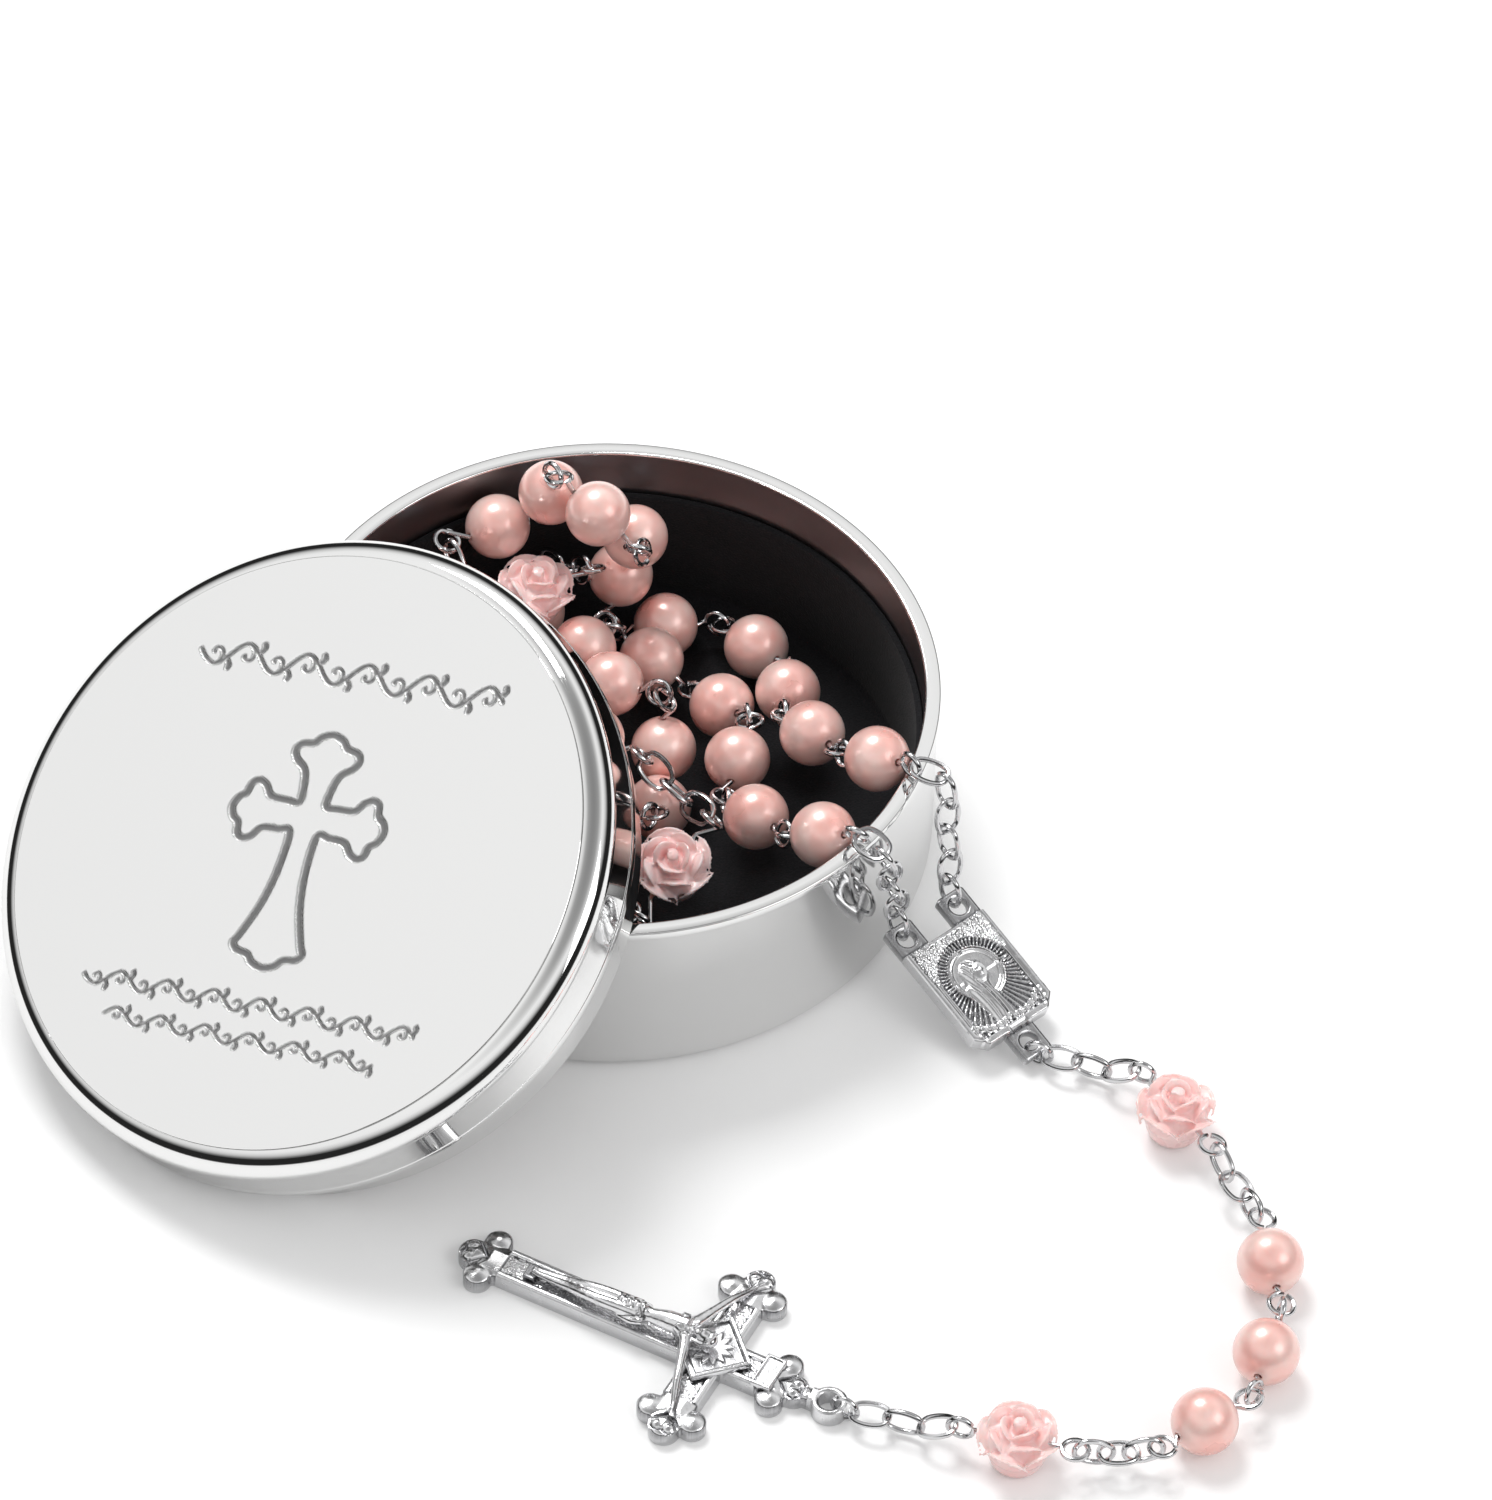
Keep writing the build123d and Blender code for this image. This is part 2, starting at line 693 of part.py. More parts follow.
def crossShape():
    plan = crossOutline(crossHead) + Rot(0, 0, 180) * crossOutline(crossFoot)
    plan += Rot(0, 0, 90) * crossOutline(crossArm) + Rot(0, 0, -90) * crossOutline(crossArm)
    body = extrude(plan, crossThickness)
    eye = Pos(0, crossEyeReach) * RegularPolygon(crossEyeRadius, 12)
    eye += Pos(0, crossHead + 0.4) * Rectangle(1.6, 1.6)
    eye -= Pos(0, crossEyeReach) * RegularPolygon(crossEyeHole, 12)
    body += Pos(0, 0, crossThickness - crossEyeThickness) * extrude(eye, crossEyeThickness)
    field = Pos(0, -(crossFoot - 4) / 2 - 1.2) * Rectangle(crossBar - 1.2, crossFoot - 8)
    return body - Pos(0, 0, crossThickness - crossField) * extrude(field, 1)


def plaqueShape():
    plate = Rot(0, 0, 45) * Rectangle(plaqueSide, plaqueSide)
    well = Rot(0, 0, 45) * Rectangle(plaqueSide - 0.9, plaqueSide - 0.9)
    body = Pos(0, 0, crossThickness) * extrude(plate, plaqueThickness)
    return body - Pos(0, 0, crossThickness + plaqueThickness - 0.2) * extrude(well, 1)


def titleShape():
    plate = Pos(0, 5.6) * Rectangle(titleWidth, titleLength)
    return Pos(0, 0, crossThickness) * extrude(plate, titleThickness)


def limb(points, widths, sides=6):
    # a limb tapering through its points
    points = [np.array(point, float) for point in points]
    rings = []
    for k, point in enumerate(points):
        along = unit(points[min(k + 1, len(points) - 1)] - points[max(k - 1, 0)])
        side = sideways(along, np.array([0.0, 0.0, 1.0]))
        rings.append(ringOfCorners(point, side, np.cross(along, side), widths[k], sides))
    polygons = [rings[0][::-1], rings[-1]]
    for lower, upper in zip(rings, rings[1:]):
        polygons += triangles(lower, upper)
    return solidOf(polygons)


def corpusShape():
    # plain figure: trunk and legs, two arms, bowed head; hands and feet seat on the cross
    low = crossThickness + plaqueThickness + corpusGap
    hand = crossThickness + corpusGap + 0.35
    foot = crossThickness + corpusGap + 0.5
    chest = low + 1.15
    shoulder = low + 0.85
    trunk = limb([(0, -corpusFoot, foot), (0.2, -corpusKnee, low + 0.6), (0, -corpusHip, low + 0.8), (0, -2.2, chest)],
                 [0.5, 0.75, 1.0, 1.15])
    head = limb([(0.3, -0.2, low + 0.1), (0.3, -0.2, low + 1.1), (0.3, -0.2, low + 2.0)], [0.6, 1.1, 0.6])
    body = trunk + head + limb([(0, -2.6, shoulder), (0.2, -0.6, low + 0.9)], [0.7, 0.55])
    for side in (-1, 1):
        reach = side * (crossArm - 2.4)
        body += limb([(side * 0.6, -2.6, shoulder), (reach / 2, -1.2, low + 0.6), (reach, 0.2, hand)],
                     [0.6, 0.5, 0.35])
    return body


# ---- put everything in its place ----
roseShape = roseBlank()
keep("body_shell", bodyShell())
keep("body_lining", bodyLining())
lidPlace = upright(lidCentre, lidSide, lidNormal)
keep("lid_shell", lidPlace * lidShell())
keep("lid_collar", lidPlace * lidCollar())

medalCentre, medalSide, medalUp, medalNormal = medalFrame()
keep("medal", upright(medalCentre, medalSide, medalNormal) * medalShape())
holeHeight = medalLength / 2 + medalEar / 2
holeRight = medalCentre + medalSide * medalEarSpread + medalUp * holeHeight
holeLeft = medalCentre - medalSide * medalEarSpread + medalUp * holeHeight
holeLower = medalCentre - medalUp * holeHeight

ropeUp = np.array([0.0, 0.0, 1.0])
earRim = (medalEarHole + medalEar / 2) / 2
for side, hang, rim in ((1, rightHang, rightRim), (-1, leftHang, leftRim)):
    # the lowest link holds the ear's outer edge, one side of it through the hole
    place = medalCentre + medalSide * side * medalEarSpread + medalUp * (holeHeight + earRim)
    place = place - ropeUp * (medalEarThickness / 2 + 0.1)
    earTop, hangTop = place + ropeUp * linkPitch, fromCrossing(hang, boxHeight + hangLift)
    count = math.ceil(np.linalg.norm(hangTop - earTop) / linkPitch - 0.1)
    hanging = [earTop + (hangTop - earTop) * k / count for k in range(count + 1)]
    node = "rim_chain_right" if side > 0 else "rim_chain_left"
    normal = chainLinks(node, [place] + hanging + [fromCrossing(rim, boxHeight + rimJointLift)], medalNormal)
    if side > 0:
        normalRight = normal
    else:
        normalLeft = normal

boxPieces, boxJoints = stringInBox()
drawString(boxPieces, boxJoints, normalRight, normalLeft, liningFloor + linksReach)

topArm = compass(crossBearing)
crossCentre = fromCrossing(crossEye, 0) - topArm * crossEyeReach
crossPlace = upright(crossCentre, compass(crossBearing - 90), (0, 0, 1))
ringHeight = ringRadius + wireThickness / 2 + 0.05
ringPull = 0.8 - linkSlack
eyeRim = (crossEyeRadius + crossEyeHole) / 2
crossRing = fromCrossing(crossEye, ringHeight) + topArm * (eyeRim + 0.25)
keep("crucifix_ring", upright(crossRing, topArm, np.cross(topArm, ropeUp)) * ringShape)
lowerEar = medalCentre - medalUp * (holeHeight + earRim)
chainStart = fromCrossing(pendantRose[0], ringHeight)
outward = unit((chainStart - lowerEar) * np.array([1, 1, 0]))
medalRing = np.array([lowerEar[0], lowerEar[1], ringHeight]) + outward * 0.2
keep("medal_ring", upright(medalRing, outward, np.cross(outward, ropeUp)) * ringShape)

ballHeight = pearlDiameter / 2
roseHeight = 0.8 * roseDiameter / 2
onTable = [medalRing + outward * ringPull]
onTable += [fromCrossing(place, roseHeight) for place in pendantRose]
onTable += [fromCrossing(place, ballHeight) for place in pendantPearls]
onTable += [fromCrossing(place, roseHeight) for place in lowerRose]
onTable += [crossRing + topArm * ringPull]
pendantPieces = [linksPiece("pendant_chain_1"), rosePiece("pendant_rose_1"), linksPiece("pendant_chain_2")]
pendantPieces += [pearlPiece("pendant") for k in range(3)]
pendantPieces += [linksPiece("pendant_chain_3"), rosePiece("pendant_rose_2"), linksPiece("pendant_chain_4")]
drawString(pendantPieces, onTable, np.cross(outward, ropeUp), np.cross(topArm, ropeUp), linksReach)

keep("crucifix_cross", crossPlace * crossShape())
keep("crucifix_plaque", crossPlace * plaqueShape())
keep("crucifix_title", crossPlace * titleShape())
keep("crucifix_corpus", crossPlace * corpusShape())

os.makedirs("parts", exist_ok=True)
for node, pieces in solids.items():
    export_step(Compound(children=pieces) if len(pieces) > 1 else pieces[0], "parts/%s.step" % node)
print("lid centre", [round(float(x), 2) for x in lidCentre], "nodes", len(solids))
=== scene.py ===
import bpy
import math
import numpy as np
from mathutils import Matrix, Vector


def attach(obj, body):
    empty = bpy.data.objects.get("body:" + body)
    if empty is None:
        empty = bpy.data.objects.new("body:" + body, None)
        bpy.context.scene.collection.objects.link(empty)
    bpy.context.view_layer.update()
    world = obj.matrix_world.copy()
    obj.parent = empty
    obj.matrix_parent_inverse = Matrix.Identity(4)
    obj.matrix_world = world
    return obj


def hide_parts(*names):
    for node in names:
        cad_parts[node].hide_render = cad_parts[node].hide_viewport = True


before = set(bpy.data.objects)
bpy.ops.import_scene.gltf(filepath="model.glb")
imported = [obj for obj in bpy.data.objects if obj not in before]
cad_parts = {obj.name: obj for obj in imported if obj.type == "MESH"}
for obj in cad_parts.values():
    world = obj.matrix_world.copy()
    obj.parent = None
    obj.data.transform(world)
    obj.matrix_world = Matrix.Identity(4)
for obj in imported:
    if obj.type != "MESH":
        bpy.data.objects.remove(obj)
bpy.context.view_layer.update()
print("frame loaded")

# lengths below are millimetres, and become metres where a mesh is made
mm = 0.001

# camera
cameraValues = {"elevation": 48.34, "roll": 1.81, "distance": 1000.0, "focal": 10820.2,
                "target": (12.50, 9.43, 0.0), "imageHigh": 1500, "sensor": 36.0}


def makeCamera(v):
    e, r = math.radians(v["elevation"]), math.radians(v["roll"])
    back = Vector((0, -math.cos(e), math.sin(e)))
    right = Vector((1, 0, 0))
    up = back.cross(right)
    x = right * math.cos(r) + up * math.sin(r)
    y = up * math.cos(r) - right * math.sin(r)
    camera = bpy.data.cameras.new("photoCamera")
    camera.sensor_width = v["sensor"]
    camera.lens = v["sensor"] * v["focal"] / v["imageHigh"]
    camera.clip_start, camera.clip_end = 0.05, 10
    holder = bpy.data.objects.new("photoCamera", camera)
    place = Matrix((x, y, back)).transposed().to_4x4()
    place.translation = (Vector(v["target"]) + back * v["distance"]) * mm
    holder.matrix_world = place
    bpy.context.scene.collection.objects.link(holder)
    bpy.context.scene.camera = holder


makeCamera(cameraValues)

# sizes shared by the pieces
boxValues = {"radius": 30.0, "height": 19.0, "rim": 1.4, "bandHeight": 0.9, "bandStep": 0.2, "footRound": 2.0,
             "base": 1.2, "edge": 0.18}
liningValues = {"thickness": 0.6, "gap": 0.1, "bareBand": 5.0}
lidValues = {"height": 7.0, "top": 1.2, "shoulder": 2.1, "faceStep": 0.15, "collarFit": 0.1,
             "collarThickness": 0.8, "collarDrop": 4.7, "collarSeat": 4.5, "tilt": 31.5, "bearing": 220.7,
             "leanGap": 0.12}
stringValues = {"pearl": 6.0, "rose": 7.6, "eyeRadius": 1.15, "wire": 0.5, "neck": 0.35, "slack": 0.8,
                "linkLength": 4.0, "linkWidth": 3.0, "hole": 0.7, "sag": 0.8, "linkSlack": 0.15, "ring": 1.2}
mouth = boxValues["radius"] - boxValues["rim"]
liningRadius = mouth - liningValues["gap"] - liningValues["thickness"]
liningFloor = boxValues["base"] + liningValues["thickness"]
liningTop = boxValues["height"] - liningValues["bareBand"]


def unit(v):
    return v / np.linalg.norm(v)


def compass(degrees):
    return np.array([math.cos(math.radians(degrees)), math.sin(math.radians(degrees)), 0.0])


# where the lid leans
tilt, bearing = math.radians(lidValues["tilt"]), lidValues["bearing"]
lidNormal = math.sin(tilt) * compass(bearing) + np.array([0, 0, math.cos(tilt)])
lidSide = compass(bearing + 90)
lidFront = np.cross(lidNormal, lidSide)
collarOuter = mouth - lidValues["collarFit"]


def lidCentreAt(distance):
    return compass(bearing) * distance + np.array([0, 0, boxValues["radius"] * math.sin(tilt)])


def airOverRim(distance):
    lowest = boxValues["height"]
    for inset in (0, lidValues["collarThickness"] / 2, lidValues["collarThickness"]):
        for step in range(360):
            a = math.radians(step)
            p = lidCentreAt(distance) - lidNormal * lidValues["collarDrop"]
            p = p + (collarOuter - inset) * (math.cos(a) * lidSide + math.sin(a) * lidFront)
            if mouth < math.hypot(p[0], p[1]) < boxValues["radius"]:
                lowest = min(lowest, p[2] - boxValues["height"])
    return lowest


near, far = 0.6 * boxValues["radius"], 1.6 * boxValues["radius"]
for halving in range(24):
    middle = (near + far) / 2
    if airOverRim(middle) < lidValues["leanGap"]:
        near = middle
    else:
        far = middle
lidCentre = lidCentreAt(far)


# mesh helpers
class Clay:
    # gathers vertices and faces of one piece, in mm
    def __init__(self):
        self.points, self.faces, self.marks = [], [], []

    def add(self, points, faces, marks=None):
        start = sum(len(p) for p in self.points)
        self.points.append(np.asarray(points, float))
        self.faces += [tuple(i + start for i in f) for f in faces]
        self.marks += marks or [0] * len(faces)

    def make(self, name, materials, body, slotName=None, nodes=(), sharp=35, tone=None):
        mesh = bpy.data.meshes.new(name)
        mesh.from_pydata((np.concatenate(self.points) * mm).tolist(), [], self.faces)
        for material in materials:
            mesh.materials.append(material)
        mesh.polygons.foreach_set("material_index", self.marks)
        mesh.polygons.foreach_set("use_smooth", [True] * len(mesh.polygons))
        if sharp:
            mesh.set_sharp_from_angle(angle=math.radians(sharp))
        if tone is not None:
            layer = mesh.attributes.new("tone", "FLOAT", "POINT")
            layer.data.foreach_set("value", np.asarray(tone, np.float32))
        mesh.update()
        piece = bpy.data.objects.new(name, mesh)
        bpy.context.scene.collection.objects.link(piece)
        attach(piece, body)
        if nodes:
            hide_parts(*nodes)
        return piece


def placed(points, origin, xWay, zWay):
    # local points to the object's frame
    zWay, xWay = unit(np.asarray(zWay, float)), np.asarray(xWay, float)
    xWay = unit(xWay - zWay * (xWay @ zWay))
    return np.asarray(origin) + np.asarray(points) @ np.array([xWay, np.cross(zWay, xWay), zWay])


def gridFaces(rows, columns):
    # joins each ring of points to the next
    faces = []
    for r in range(rows - 1):
        for c in range(columns):
            here, beside = r * columns + c, r * columns + (c + 1) % columns
            faces.append((here, beside, beside + columns, here + columns))
    return faces


def onCircle(radius, k, count):
    a = 2 * math.pi * k / count
    return radius * math.cos(a), radius * math.sin(a)


def turnProfile(profile, segments, closed=False):
    # (radius, height) outline turned about Z; radius 0 becomes a single point
    points, rows = [], []
    for radius, height in profile:
        if radius < 1e-9:
            rows.append([len(points)] * segments)
            points.append((0.0, 0.0, height))
        else:
            rows.append(list(range(len(points), len(points) + segments)))
            points += [(*onCircle(radius, k, segments), height) for k in range(segments)]
    faces = []
    pairs = list(zip(rows, rows[1:])) + ([(rows[-1], rows[0])] if closed else [])
    for lower, upper in pairs:
        for k in range(segments):
            n = (k + 1) % segments
            face = [lower[k], lower[n], upper[n], upper[k]]
            face = [i for j, i in enumerate(face) if i != face[j - 1]]
            if len(face) > 2:
                faces.append(tuple(face))
    return points, faces


def arcPoints(cx, cy, radius, startAngle, endAngle, count):
    out = []
    for k in range(count + 1):
        a = math.radians(startAngle + (endAngle - startAngle) * k / count)
        out.append((cx + radius * math.cos(a), cy + radius * math.sin(a)))
    return out


def softened(outline, radius, count=3):
    # rounds every corner of an open (radius, height) outline a little
    out = [outline[0]]
    for before, here, after in zip(outline, outline[1:], outline[2:]):
        b, h, a = np.array(before), np.array(here), np.array(after)
        lb, la = np.linalg.norm(b - h), np.linalg.norm(a - h)
        r = min(radius, 0.45 * lb, 0.45 * la)
        p, q = h + (b - h) / lb * r, h + (a - h) / la * r
        for k in range(count + 1):
            t = k / count
            out.append(tuple((1 - t) ** 2 * p + 2 * t * (1 - t) * h + t * t * q))
    return out + [outline[-1]]


def tube(points, radius, sides, closed=False):
    # round wire through the points; radius may be one number or one for each point
    points = np.asarray(points, float)
    count = len(points)
    radii = np.full(count, radius) if np.isscalar(radius) else np.asarray(radius, float)
    ways = []
    for k in range(count):
        a = points[(k + 1) % count] if closed or k + 1 < count else points[k]
        b = points[k - 1] if closed or k else points[k]
        ways.append(unit(a - b))
    side = unit(np.cross(ways[0], [0.31, 0.57, 0.76]))
    rows = []
    for k in range(count):
        side = unit(side - ways[k] * (side @ ways[k]))
        other = np.cross(ways[k], side)
        for j in range(sides):
            x, y = onCircle(1.0, j, sides)
            rows.append(points[k] + radii[k] * (x * side + y * other))
    faces = gridFaces(count, sides)
    if closed:
        # join the last ring to the first with the least twist
        last, first = np.array(rows[-sides:]), np.array(rows[:sides])
        shift = min(range(sides), key=lambda s: np.linalg.norm(last - np.roll(first, -s, axis=0)))
        base = (count - 1) * sides
        for j in range(sides):
            faces.append((base + j, base + (j + 1) % sides, (j + 1 + shift) % sides, (j + shift) % sides))
    else:
        faces.append(tuple(range(sides))[::-1])
        faces.append(tuple(range((count - 1) * sides, count * sides)))
    return rows, faces


def curveThrough(p, steps):
    # an even curve from the second point to the last but one
    out = []
    for a, b, c, d in zip(p, p[1:], p[2:], p[3:]):
        for k in range(steps):
            t = k / steps
            square, cube = 2 * a - 5 * b + 4 * c - d, 3 * b - a - 3 * c + d
            out.append(0.5 * (2 * b + (c - a) * t + square * t * t + cube * t ** 3))
    return out + [p[-2]]


def smoothPath(points, steps):
    p = [np.array(q, float) for q in points]
    return curveThrough([2 * p[0] - p[1]] + p + [2 * p[-1] - p[-2]], steps)


def closedPath(points, steps):
    p = [np.array(q, float) for q in points]
    return curveThrough([p[-1]] + p + [p[0], p[1]], steps)


# materials
def newMaterial(name, **sockets):
    material = bpy.data.materials.new(name)
    material.use_nodes = True
    shader = material.node_tree.nodes["Principled BSDF"]
    for key, value in sockets.items():
        shader.inputs[key.replace("_", " ")].default_value = value
    return material, material.node_tree, shader


def texture(tree, kind, scale, detail=2.0, **more):
    coords = tree.nodes.new("ShaderNodeTexCoord")
    node = tree.nodes.new(kind)
    tree.links.new(coords.outputs["Object"], node.inputs["Vector"])
    node.inputs["Scale"].default_value = scale
    if "Detail" in node.inputs:
        node.inputs["Detail"].default_value = detail
    for key, value in more.items():
        setattr(node, key, value)
    return node


def ramp(tree, source, low, high, fromLow=0.0, fromHigh=1.0):
    node = tree.nodes.new("ShaderNodeMapRange")
    node.inputs["From Min"].default_value, node.inputs["From Max"].default_value = fromLow, fromHigh
    node.inputs["To Min"].default_value, node.inputs["To Max"].default_value = low, high
    tree.links.new(source, node.inputs["Value"])
    return node.outputs["Result"]


def bump(tree, shader, source, distance, strength=1.0):
    node = tree.nodes.new("ShaderNodeBump")
    node.inputs["Distance"].default_value = distance
    node.inputs["Strength"].default_value = strength
    tree.links.new(source, node.inputs["Height"])
    tree.links.new(node.outputs["Normal"], shader.inputs["Normal"])


def mixColour(tree, factor, first, second):
    node = tree.nodes.new("ShaderNodeMix")
    node.data_type = "RGBA"
    node.inputs["A"].default_value, node.inputs["B"].default_value = (*first, 1), (*second, 1)
    tree.links.new(factor, node.inputs["Factor"])
    return node.outputs["Result"]


def product(tree, first, second):
    node = tree.nodes.new("ShaderNodeMath")
    node.operation = "MULTIPLY"
    tree.links.new(first, node.inputs[0])
    tree.links.new(second, node.inputs[1])
    return node.outputs[0]


def darkening(tree):
    # the tone that a piece's mesh carries, 1 in its recesses: on the lid face it marks the engraved lines, on
    # cast pieces it is painted shade
    node = tree.nodes.new("ShaderNodeAttribute")
    node.attribute_name = "tone"
    return node.outputs["Fac"]


def linkRoughness(tree, shader, source, values, low, high):
    tree.links.new(ramp(tree, source, *values["roughness"], low, high), shader.inputs["Roughness"])


def linkColour(tree, shader, factor, first, second):
    tree.links.new(mixColour(tree, factor, first, second), shader.inputs["Base Color"])


polishValues = {"colour": (0.87, 0.87, 0.865, 1), "roughness": (0.025, 0.07), "wave": 0.00001}
# the inside wall's dark colour is painted shade; its roughness is the wall's own
mouthValues = {"colour": (0.20, 0.20, 0.21, 1), "roughness": 0.34}
lineValues = {"colour": (0.20, 0.20, 0.20), "roughness": 0.55, "hatch": 2400.0, "depth": 0.00003}
# on cast pieces the low colour is painted shade, mixed in by the tone in recesses
castValues = {"high": (0.80, 0.80, 0.81), "low": (0.16, 0.16, 0.17), "roughness": (0.16, 0.30)}
wireValues = {"colour": (0.66, 0.66, 0.67, 1), "roughness": (0.10, 0.22)}
flockValues = {"dark": (0.004, 0.004, 0.005), "light": (0.014, 0.014, 0.016)}
pearlValues = {"body": (0.98, 0.51, 0.45), "glow": (1.0, 0.69, 0.63), "roughness": (0.26, 0.36)}
resinValues = {"deep": (0.98, 0.60, 0.58), "pale": (1.0, 0.75, 0.73), "roughness": (0.20, 0.32)}


def polishedMetal():
    material, tree, shader = newMaterial("mirrorPolish", Base_Color=polishValues["colour"], Metallic=1.0)
    haze = texture(tree, "ShaderNodeTexNoise", 90.0, 4.0)
    linkRoughness(tree, shader, haze.outputs["Fac"], polishValues, 0.35, 0.7)
    wave = texture(tree, "ShaderNodeTexNoise", 45.0, 1.0)
    bump(tree, shader, wave.outputs["Fac"], polishValues["wave"], 0.35)
    return material


def engravedMetal():
    # the lid's face: mirror, with finely hatched dull lines where tone is 1
    material, tree, shader = newMaterial("engravedFace", Metallic=1.0)
    tone = darkening(tree)
    haze = texture(tree, "ShaderNodeTexNoise", 90.0, 4.0)
    plain = ramp(tree, haze.outputs["Fac"], *polishValues["roughness"], 0.35, 0.7)
    rough = tree.nodes.new("ShaderNodeMix")
    rough.inputs["B"].default_value = lineValues["roughness"]
    tree.links.new(tone, rough.inputs["Factor"])
    tree.links.new(plain, rough.inputs["A"])
    tree.links.new(rough.outputs["Result"], shader.inputs["Roughness"])
    linkColour(tree, shader, tone, polishValues["colour"][:3], lineValues["colour"])
    hatch = texture(tree, "ShaderNodeTexWave", lineValues["hatch"], 0.0, bands_direction="DIAGONAL")
    bump(tree, shader, product(tree, hatch.outputs["Fac"], tone), lineValues["depth"], 0.6)
    return material


def castMetal():
    material, tree, shader = newMaterial("castSilver", Metallic=1.0)
    tone = darkening(tree)
    grain = texture(tree, "ShaderNodeTexNoise", 1500.0, 3.0)
    # the tone darkens recesses towards the low colour, painted shade
    linkColour(tree, shader, tone, castValues["high"], castValues["low"])
    linkRoughness(tree, shader, grain.outputs["Fac"], castValues, 0.35, 0.7)
    bump(tree, shader, grain.outputs["Fac"], 0.00004, 0.5)
    return material


def wireMetal():
    material, tree, shader = newMaterial("brightWire", Base_Color=wireValues["colour"], Metallic=1.0)
    grain = texture(tree, "ShaderNodeTexNoise", 1200.0, 2.0)
    linkRoughness(tree, shader, grain.outputs["Fac"], wireValues, 0.3, 0.7)
    bump(tree, shader, grain.outputs["Fac"], 0.00001, 0.4)
    return material


def flock():
    material, tree, shader = newMaterial("blackFlock", Roughness=0.9, Sheen_Weight=0.08, Sheen_Roughness=0.5,
                                         Specular_IOR_Level=0.25)
    fibre = texture(tree, "ShaderNodeTexNoise", 5200.0, 3.0)
    patch = texture(tree, "ShaderNodeTexNoise", 120.0, 2.0)
    both = product(tree, fibre.outputs["Fac"], patch.outputs["Fac"])
    linkColour(tree, shader, ramp(tree, both, 0, 1, 0.1, 0.4), flockValues["dark"], flockValues["light"])
    bump(tree, shader, fibre.outputs["Fac"], 0.00012, 0.8)
    return material


def pearlCoat():
    material, tree, shader = newMaterial("pearlCoat", Metallic=0.16, Coat_Weight=1.0, Coat_Roughness=0.2,
                                         Specular_IOR_Level=0.7, Sheen_Weight=0.12, Sheen_Roughness=0.35,
                                         Sheen_Tint=(1.0, 0.80, 0.78, 1), Subsurface_Weight=0.25,
                                         Subsurface_Scale=0.0012, Subsurface_Radius=(1.0, 0.45, 0.35))
    cloud = texture(tree, "ShaderNodeTexNoise", 260.0, 3.0)
    cloudy = ramp(tree, cloud.outputs["Fac"], 0, 1, 0.35, 0.65)
    linkColour(tree, shader, cloudy, pearlValues["body"], pearlValues["glow"])
    linkRoughness(tree, shader, cloud.outputs["Fac"], pearlValues, 0.3, 0.7)
    bump(tree, shader, cloud.outputs["Fac"], 0.00001, 0.4)
    return material


def roseResin():
    material, tree, shader = newMaterial("roseResin", Subsurface_Weight=0.45, Subsurface_Scale=0.0007,
                                         Subsurface_Radius=(1.0, 0.5, 0.42), Specular_IOR_Level=0.5,
                                         Coat_Weight=0.25, Coat_Roughness=0.2)
    cloud = texture(tree, "ShaderNodeTexNoise", 420.0, 2.0)
    cloudy = ramp(tree, cloud.outputs["Fac"], 0, 1, 0.3, 0.7)
    linkColour(tree, shader, cloudy, resinValues["deep"], resinValues["pale"])
    linkRoughness(tree, shader, cloud.outputs["Fac"], resinValues, 0.3, 0.7)
    bump(tree, shader, cloud.outputs["Fac"], 0.00002, 0.5)
    return material


def dullShadedMetal():
    # the inside of the box is rougher than the outside, and its dark colour is painted shade
    colour, roughness = mouthValues["colour"], mouthValues["roughness"]
    return newMaterial("mouthShadedPolish", Base_Color=colour, Metallic=1.0, Roughness=roughness)[0]


mouthShadedPolish = dullShadedMetal()
mirrorPolish, engravedFace = polishedMetal(), engravedMetal()
castSilver, brightWire = castMetal(), wireMetal()
blackFlock, pearlSkin, pinkResin = flock(), pearlCoat(), roseResin()
print("materials made")

# box and lining
turnSteps = 256


def makeBody():
    v, r = boxValues, boxValues["radius"]
    wall = r - v["bandStep"]
    outline = [(0, 0.35), (wall - 5.2, 0.35), (wall - 4.6, 0.0), (wall - v["footRound"], 0)]
    outline += arcPoints(wall - v["footRound"], v["footRound"], v["footRound"], -90, 0, 12)[1:]
    bandFoot = v["height"] - v["bandHeight"]
    outline += [(wall, bandFoot), (r, bandFoot), (r, v["height"]), (mouth, v["height"]),
                (mouth, v["base"]), (0, v["base"])]
    points, faces = turnProfile(softened(outline, v["edge"]), turnSteps)

    def isInside(face):
        return all(math.hypot(*points[i][:2]) < mouth + 0.02 and points[i][2] > 0.5 for i in face)

    clay = Clay()
    # faces inside the mouth take the darker material, painted shade
    clay.add(points, faces, [int(isInside(face)) for face in faces])
    return clay.make("bodyShell", [mirrorPolish, mouthShadedPolish], "box", "polished_shell", ["body_shell"])


def makeLining():
    outer = mouth - liningValues["gap"]
    low, top, inner = boxValues["base"], liningTop, liningRadius
    outline = [(0, low), (outer, low), (outer, top), (inner, top)]
    outline += arcPoints(inner - 0.8, liningFloor + 0.8, 0.8, 0, -90, 6) + [(0, liningFloor)]
    clay = Clay()
    clay.add(*turnProfile(softened(outline, 0.15), turnSteps))
    return clay.make("bodyLining", [blackFlock], "box", "lining", ["body_lining"])


makeBody()
makeLining()
print("box made")

# lid
faceValues = {"grid": 0.15, "line": 0.31, "depth": 0.08, "up": (-0.479, 0.878), "crossAt": (-1.25, 2.69)}


